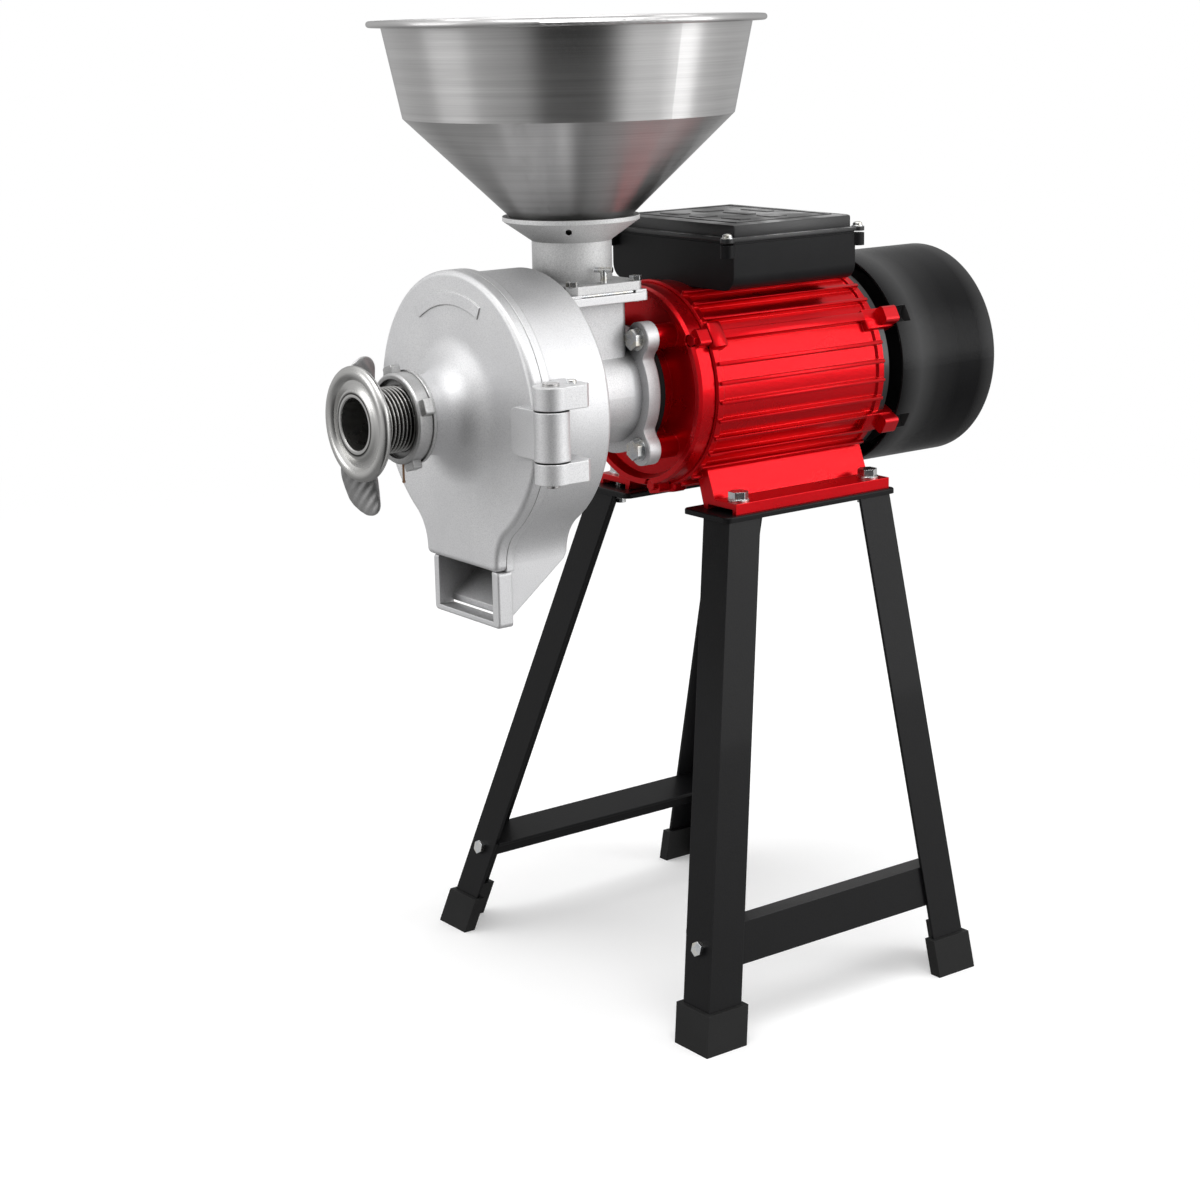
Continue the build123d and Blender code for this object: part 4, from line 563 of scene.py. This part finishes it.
def chilled_iron():
    """Dark, grainy disc iron with bright ridges."""
    finish = Finish("chilled_iron", Metallic=0.85)
    skin = finish.skin(fineness=900.0, patches=60.0)
    edge = finish.use("edges", Width=0.0010)["Edge"]
    tree = finish.tree
    shade = ramp(tree, skin["Patch"], (0.3, 0.05), (0.7, 0.12))
    finish.wire(Base_Color=mix(tree, edge, shade, (0.42, 0.41, 0.40)),
                Roughness=spread(tree, skin["Patch"], 0.38, 0.63))
    finish.bump(skin["Height"], strength=0.4, distance=0.0004)
    return finish.material


def piece(name, shape, body, *replaced, sharp=32.0):
    """Finished mesh from a shape in millimetres; it rides on a body and stands for CAD nodes."""
    bmesh.ops.recalc_face_normals(shape, faces=shape.faces)
    bmesh.ops.transform(shape, matrix=to_model, verts=shape.verts)
    made = bpy.data.objects.new(name, bpy.data.meshes.new(name))
    shape.to_mesh(made.data)
    shape.free()
    made.data.polygons.foreach_set("use_smooth", [True] * len(made.data.polygons))
    made.data.set_sharp_from_angle(angle=radians(sharp))
    bpy.context.scene.collection.objects.link(made)
    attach(made, body)
    if replaced:
        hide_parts(*replaced)
    return made


def added(shape, before):
    """Vertices that a step has made."""
    return [vert for vert in shape.verts if vert not in before]


def lathe(shape, outline, steps=96, turns=1, climb=0.0, move=Matrix()):
    """Turns a closed outline of (radius, height) points about Z; with a climb it winds a thread."""
    before = set(shape.verts)
    points = [shape.verts.new((radius, 0, height)) for radius, height in outline]
    wires = [shape.edges.new(pair) for pair in zip(points, points[1:] + points[:1])]
    swept = bmesh.ops.spin(shape, geom=points + wires, cent=(0, 0, 0), axis=(0, 0, 1),
                           dvec=(0, 0, climb / steps), angle=2 * pi * turns, steps=steps * turns,
                           use_merge=not climb)
    if climb:
        ends = [edge for edge in swept["geom_last"] if isinstance(edge, bmesh.types.BMEdge)]
        bmesh.ops.contextual_create(shape, geom=wires)
        bmesh.ops.contextual_create(shape, geom=ends)
    bmesh.ops.transform(shape, matrix=move, verts=added(shape, before))


def bar(shape, low, high, bevel=0.0):
    """Box between two corners; a bevel softens its edges."""
    middle, size = [(a + b) / 2 for a, b in zip(low, high)], [b - a for a, b in zip(low, high)]
    place = Matrix.Translation(middle) @ Matrix.Diagonal((*size, 1))
    made = bmesh.ops.create_cube(shape, size=1.0, matrix=place)
    if bevel:
        edges = list({edge for vert in made["verts"] for edge in vert.link_edges})
        bmesh.ops.bevel(shape, geom=edges, offset=bevel, segments=2, profile=0.5, material=-1,
                        affect="EDGES")


def slab(shape, outline, y0, y1):
    """Polygon of (x, z) points, as thick as from y0 to y1."""
    face = shape.faces.new([shape.verts.new((x, y0, z)) for x, z in outline])
    grown = bmesh.ops.extrude_face_region(shape, geom=[face])["geom"]
    moved = [item for item in grown if isinstance(item, bmesh.types.BMVert)]
    bmesh.ops.translate(shape, vec=(0, y1 - y0, 0), verts=moved)


def turned_out(shape, angle, low, high, bevel):
    """Box laid along +X, as (radius, y, width), and turned about the shaft's axis."""
    before = set(shape.verts)
    bar(shape, low, high, bevel)
    bmesh.ops.rotate(shape, cent=(0, 0, 0), matrix=Matrix.Rotation(radians(-angle), 3, "Y"),
                     verts=added(shape, before))


def handwheel():
    """Handwheel and hollow screw, with its cut thread and the rolled rim."""
    shape = bmesh.new()
    front = -wheel_front
    face = [(wheel_bore + out, front + back) for out, back in wheel_face]
    rim = [(wheel_radius - rim_half_width + rim_half_width * sin(radians(angle)),
            front + rim_half_depth - rim_half_depth * cos(radians(angle)))
           for angle in range(rim_from, rim_to + 1, rim_step)]
    shoulder = [(screw_crest + out, front + back) for out, back in wheel_shoulder]
    recess_floor, end_face = screw_end - bearing_recess_depth, screw_end - screw_end_wall
    screw = [(screw_root, front + thread_start), (screw_root, -thread_rear),
             (screw_crest - plain_inset, -thread_rear + thread_runout), (screw_crest - plain_inset, screw_end),
             (bearing_recess, screw_end), (bearing_recess, recess_floor), (axis_gap, recess_floor),
             (axis_gap, end_face), (wheel_bore, end_face)]
    rim_edge = [(wheel_radius - rim_back_inset, front + rim_back)]
    lathe(shape, face + rim + rim_edge + shoulder + screw, move=along_shaft)
    ridge = [(screw_root - ridge_sunk, -ridge_foot), (screw_crest, -ridge_crest),
             (screw_crest, ridge_crest), (screw_root - ridge_sunk, ridge_foot)]
    turns = int((thread_front - thread_rear) / thread_pitch)
    lathe(shape, [(radius, height - thread_front) for radius, height in ridge], steps=thread_steps,
          turns=turns, climb=thread_pitch, move=along_shaft)
    return piece("handwheel", shape, "handwheel", "adjusting_screw")


def wing(shape, side):
    """Rounded petal, twisted from the hub to its tip, with slanting ridges on its faces."""
    made = bmesh.ops.create_uvsphere(shape, u_segments=wing_segments, v_segments=wing_segments,
                                     radius=1)["verts"]
    start = wing_hub_radius * wing_root_share
    reach = wing_half_span - start
    for vert in made:
        share = (vert.co.z + 1) / 2
        flat = hypot(vert.co.x, vert.co.y) or 1.0
        out_x, out_y = vert.co.x / flat, vert.co.y / flat
        past = max(0.0, (share - wing_round_share) / (1 - wing_round_share))
        round_end = max(0.0, 1 - past ** 2) ** 0.5
        swell = sin(pi / 2 * min(1.0, share / wing_widest_share))
        depth = (wing_root_depth + wing_swell * swell) * round_end
        thickness = (wing_root_thickness - wing_thinning * share) * round_end ** 0.5
        wave = sin((share * reach + out_y * depth * wing_ridge_slant) * 2 * pi / wing_ridge_pitch)
        ridge = wing_ridge_height * wave * round_end * min(1.0, share * wing_ridge_onset)
        across = out_x * thickness + ridge * out_x
        angle = radians(wing_twist) * (share - wing_level_share)
        vert.co = Vector((across * cos(angle) - out_y * depth * sin(angle),
                          across * sin(angle) + out_y * depth * cos(angle) + wing_sweep * share ** 1.5,
                          start + share * reach))
    if side < 0:
        bmesh.ops.rotate(shape, cent=(0, 0, 0), matrix=Matrix.Rotation(pi, 3, "Y"), verts=made)


def wing_nut():
    """Wing nut on the latch bolt; it takes its place and slant from the CAD nut it stands for."""
    low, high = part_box("wing_nut")
    middle = to_model.inverted() @ ((low + high) / 2)
    pin = to_model.inverted() @ Vector(joints["latch_swing"]["pos_m"])
    swing = atan2(middle.x - pin.x, pin.y - middle.y)
    shape = bmesh.new()
    nose = [(wing_hub_radius - inset, wing_hub_front + back) for inset, back in wing_hub_chamfer]
    hub = [(wing_hub_bore, wing_hub_front), *nose, (wing_hub_radius, wing_hub_rear),
           (wing_hub_bore, wing_hub_rear)]
    lathe(shape, hub, steps=wing_hub_steps, move=along_shaft)
    for side in (1, -1):
        wing(shape, side)
    lean = Matrix.Rotation(radians(wing_lean), 4, "Y")
    place = Matrix.Translation(middle) @ Matrix.Rotation(swing, 4, "Z") @ lean
    bmesh.ops.transform(shape, matrix=place, verts=shape.verts)
    return piece("wing_nut_casting", shape, "nut", "wing_nut", sharp=wing_sharp)


def rib_angles():
    """Angles of the motor's ribs: down each side, and up towards the box."""
    for start, step, count in ((side_rib_start, -rib_pitch, side_ribs),
                               (top_rib_start, rib_pitch, top_ribs)):
        for i in range(count):
            yield start + step * i
            yield 180 - start - step * i


def motor_frame():
    """Finned motor frame with its feet, its tie bolt ears and the lugs at its rear."""
    shape = bmesh.new()
    end = [(frame_bore, 0.0), (frame_radius - frame_chamfer, 0.0), (frame_radius, frame_chamfer),
           (frame_radius, frame_border), (panel, frame_border + panel_slope)]
    outline = [(radius, frame_front + inward) for radius, inward in end]
    outline += [(radius, frame_rear - inward) for radius, inward in reversed(end)]
    lathe(shape, outline, steps=frame_steps, move=along_shaft)
    inside, rib_rear, ear_rear = frame_bore + rib_sunk, frame_rear - rib_end_gap, frame_front + ear_length
    for angle in rib_angles():
        turned_out(shape, angle, (panel - rib_sunk, frame_front + rib_end_gap, -rib_width / 2),
                   (rib_top, rib_rear, rib_width / 2), rib_round)
    for angle in ear_angles:
        turned_out(shape, angle, (inside, frame_front, -ear_half_width),
                   (rib_top + ear_rise, ear_rear, ear_half_width), ear_round)
        turned_out(shape, angle, (panel - rib_sunk, ear_rear - rib_sunk, -ear_rib_half_width),
                   (rib_top, rib_rear, ear_rib_half_width), ear_rib_round)
    for angle in lug_angles:
        turned_out(shape, angle, (inside, frame_rear - lug_root, -lug_half_width),
                   (rib_top, frame_rear + lug_reach, lug_half_width), lug_round)
    sole = foot_base + foot_hollow
    foot = [(web_inner, web_top), (web_outer, web_top), (foot_heel, foot_top), (foot_outer, foot_top),
            (foot_outer, foot_base), (foot_outer - foot_pad, foot_base), (foot_outer - foot_pad, sole),
            (foot_inner + foot_pad, sole), (foot_inner + foot_pad, foot_base), (foot_inner, foot_base)]
    for side in (1, -1):
        slab(shape, [(side * x, z) for x, z in foot], foot_front, foot_rear)
    return piece("motor_frame", shape, "stand", "motor_housing")


def flange_edge():
    """Edge of the mill's motor flange: a round plate that flows into a lobe round each bolt."""
    away, turn = hypot(flange_bolt_x, flange_bolt_z), atan2(flange_bolt_z, flange_bolt_x)
    angles = [2 * pi * i / flange_points for i in range(flange_points)]
    reaches = []
    for angle in angles:
        reach = flange_radius
        for lobe in (turn, pi - turn, pi + turn, -turn):
            off = abs((angle - lobe + pi) % (2 * pi) - pi)
            inside = flange_lobe ** 2 - (away * sin(off)) ** 2
            if off < lobe_spread and inside > 0:
                reach = max(reach, away * cos(off) + inside ** 0.5)
        reaches.append(reach)
    for _ in range(flange_smoothing):
        reaches = [(reaches[i - 1] + reach * 2 + reaches[(i + 1) % flange_points]) / 4
                   for i, reach in enumerate(reaches)]
    shape = bmesh.new()
    outline = [(reach * cos(angle), reach * sin(angle)) for angle, reach in zip(angles, reaches)]
    slab(shape, outline, flange_front, flange_rear - flange_gap)
    return piece("flange_edge", shape, "stand")


def on_lugs(shape, outline, steps):
    """One turned outline at each of the box's four screws."""
    for x in (-box_half_x + box_lug_inset, box_half_x - box_lug_inset):
        for y in (box_front - box_lug_outset, box_rear + box_lug_outset):
            lathe(shape, outline, steps=steps, move=Matrix.Translation((x, y, 0)))


def lug_outline(low, high):
    return [(axis_gap, low), (box_lug_radius, low), (box_lug_radius, high), (axis_gap, high)]


def box_tub():
    """Tub of the capacitor box with rounded lower edges, its gasket and a lug for each screw."""
    shape = bmesh.new()
    half = box_half_x
    corner = [(half - box_corner + box_corner * cos(radians(angle)),
               box_bottom + box_corner + box_corner * sin(radians(angle)))
              for angle in range(0, -91, -box_corner_step)]
    outline = [(half, box_top)] + corner + [(-x, z) for x, z in reversed(corner)] + [(-half, box_top)]
    slab(shape, outline, box_front, box_rear)
    bar(shape, (-half + gasket_inset, box_front + gasket_inset, box_top),
        (half - gasket_inset, box_rear - gasket_inset, lid_bottom))
    on_lugs(shape, lug_outline(box_top - box_lug_height, box_top), box_lug_steps)
    return piece("box_tub", shape, "stand", "capacitor_box", "box_gasket")


def box_lid():
    """Lid with a stepped lip, raised outlines and pads on its crown and a lug over each screw."""
    shape = bmesh.new()
    half, front, rear = box_half_x + lid_overhang, box_front - lid_overhang, box_rear + lid_overhang
    bar(shape, (-half, front, lid_bottom), (half, rear, lid_lip_top), lid_lip_round)
    bar(shape, (-half + crown_inset, front + crown_inset, lid_lip_top - crown_sunk),
        (half - crown_inset, rear - crown_inset, lid_top), crown_round)
    x0, x1, y0, y1 = -half + relief_inset, half - relief_inset, front + relief_inset, rear - relief_inset
    base, top = lid_top - relief_sunk, lid_top + relief_height
    for left, right, near, far in ((x0, x1, y0, y0 + relief_width), (x0, x1, y1 - relief_width, y1),
                                   (x0, x0 + relief_width, y0, y1), (x1 - relief_width, x1, y0, y1)):
        bar(shape, (left, near, base), (right, far, top), relief_round)
    for x, y, width, depth in lid_pads:
        bar(shape, (x - width / 2, y0 + y - depth / 2, base), (x + width / 2, y0 + y + depth / 2, top),
            pad_round)
    on_lugs(shape, lug_outline(lid_bottom, lid_lip_top), box_lug_steps)
    return piece("lid_moulding", shape, "stand", "box_lid")


def box_screws():
    """Pan-head screws with washers, one on each lug of the lid."""
    shape = bmesh.new()
    on_lugs(shape, [(radius, lid_lip_top + height) for radius, height in screw_head], screw_head_steps)
    return piece("box_screw_heads", shape, "stand", "box_screws")


def dress(material, *names):
    """Gives CAD nodes their finish."""
    for name in names:
        slots = frame["nodes"][name].data.materials
        slots.clear()
        slots.append(material)


def paint(made, material):
    """Gives a piece of the scene its finish."""
    made.data.materials.append(material)


def dress_all():
    steel = turned_steel("turned_steel", on_shaft, "Y")
    dress(spun_steel(), "hopper")
    cast = casting("cast_aluminium", light=(0.92, 0.92, 0.925), dark=(0.83, 0.83, 0.84),
                   grain=1500.0, rough=0.47, metallic=0.90)
    dress(cast, "grinding_housing", "front_door")
    paint(flange_edge(), cast)
    dress(casting("blasted_aluminium", light=(0.90, 0.90, 0.895), dark=(0.80, 0.80, 0.80),
                  grain=1100.0, rough=0.55, metallic=0.55),
          "hopper_base")
    paint(handwheel(), turned_steel("threaded_steel", on_shaft, "Y", groove=True))
    dress(steel, "motor_shaft", "thrust_bearing", "front_bearing", "rear_bearing", "auger", "shaft_key")
    rough_steel = casting("cast_steel", light=(0.80, 0.795, 0.79), dark=(0.60, 0.60, 0.60),
                          grain=1800.0, rough=0.30)
    paint(wing_nut(), rough_steel)
    dress(rough_steel, "lock_ring", "lock_washer")
    dull = (0.62, 0.61, 0.60)
    dress(turned_steel("pin_steel", Vector(joints["door_hinge"]["pos_m"]), "Z", dull), "hinge_pin")
    dress(turned_steel("bolt_steel", Vector(joints["latch_swing"]["pos_m"]), "Z", dull),
          "latch_bolt", "latch_pin")
    zinc = zinc_plate()
    dress(zinc, "flange_bolts", "flange_washers", "hopper_base_bolts", "foot_bolts", "foot_nuts",
          "fan_cover_screws", "pin_lock_screw", "latch_washer", "clamp_screw", "disc_screws",
          "fixed_disc_screws", "brace_bolts", "feed_gate", "wipers", "rotor_spring")
    dress(chilled_iron(), "fixed_disc", "turning_disc")
    red = enamel("red_enamel", colour=(0.60, 0.0003, 0.005), deep=(0.53, 0.0002, 0.004),
                 edge_colour=(0.90, 0.03, 0.035), rough=0.22, coat=0.10, peel=420.0, specular=0.18,
                 metallic=0.78)
    dress(red, "front_end_shield", "tie_bolts")
    paint(motor_frame(), red)
    dress(enamel("black_enamel", colour=(0.0050, 0.0050, 0.0056), deep=(0.0036, 0.0036, 0.0040),
                 edge_colour=(0.022, 0.022, 0.024), rough=0.36, coat=0.05, peel=700.0, specular=0.15),
          "top_plate_left", "top_plate_right", "leg_front_left", "leg_front_right", "leg_rear_left",
          "leg_rear_right", "brace_left", "brace_right")
    dress(enamel("cover_enamel", colour=(0.0030, 0.0030, 0.0034), deep=(0.0020, 0.0020, 0.0024),
                 edge_colour=(0.03, 0.03, 0.03), rough=0.15, coat=0.0, peel=900.0, specular=0.10,
                 painted_sheen=True),
          "fan_cover")
    dress(shield_with_painted_shade(), "rear_end_shield")
    plastic = moulding("black_plastic", (0.0045, 0.0045, 0.0050), rough=0.36, specular=0.16)
    dress(plastic, "fan")
    paint(box_tub(), plastic)
    paint(box_lid(), moulding("lid_plastic", (0.008, 0.008, 0.0085), rough=0.30, specular=0.55, painted_top_highlight=True))
    paint(box_screws(), zinc)
    dress(moulding("black_rubber", (0.006, 0.006, 0.006), rough=0.58, fineness=1200.0, depth=0.35),
          "shaft_seal", "foot_boots")
    dress(casting("can_aluminium", light=(0.8, 0.8, 0.8), dark=(0.7, 0.7, 0.7), grain=600.0, rough=0.25),
          "run_capacitor", "start_capacitor")
    dress(moulding("core_iron", (0.10, 0.08, 0.07), rough=0.5, fineness=800.0), "stator_core", "rotor_core")
    dress(moulding("brown_wire", (0.16, 0.09, 0.05), rough=0.4, fineness=900.0), "split_pin")


bpy.context.scene.view_settings.view_transform = "Standard"
make_camera()
make_floor()
make_studio()
make_lamps()
dress_all()
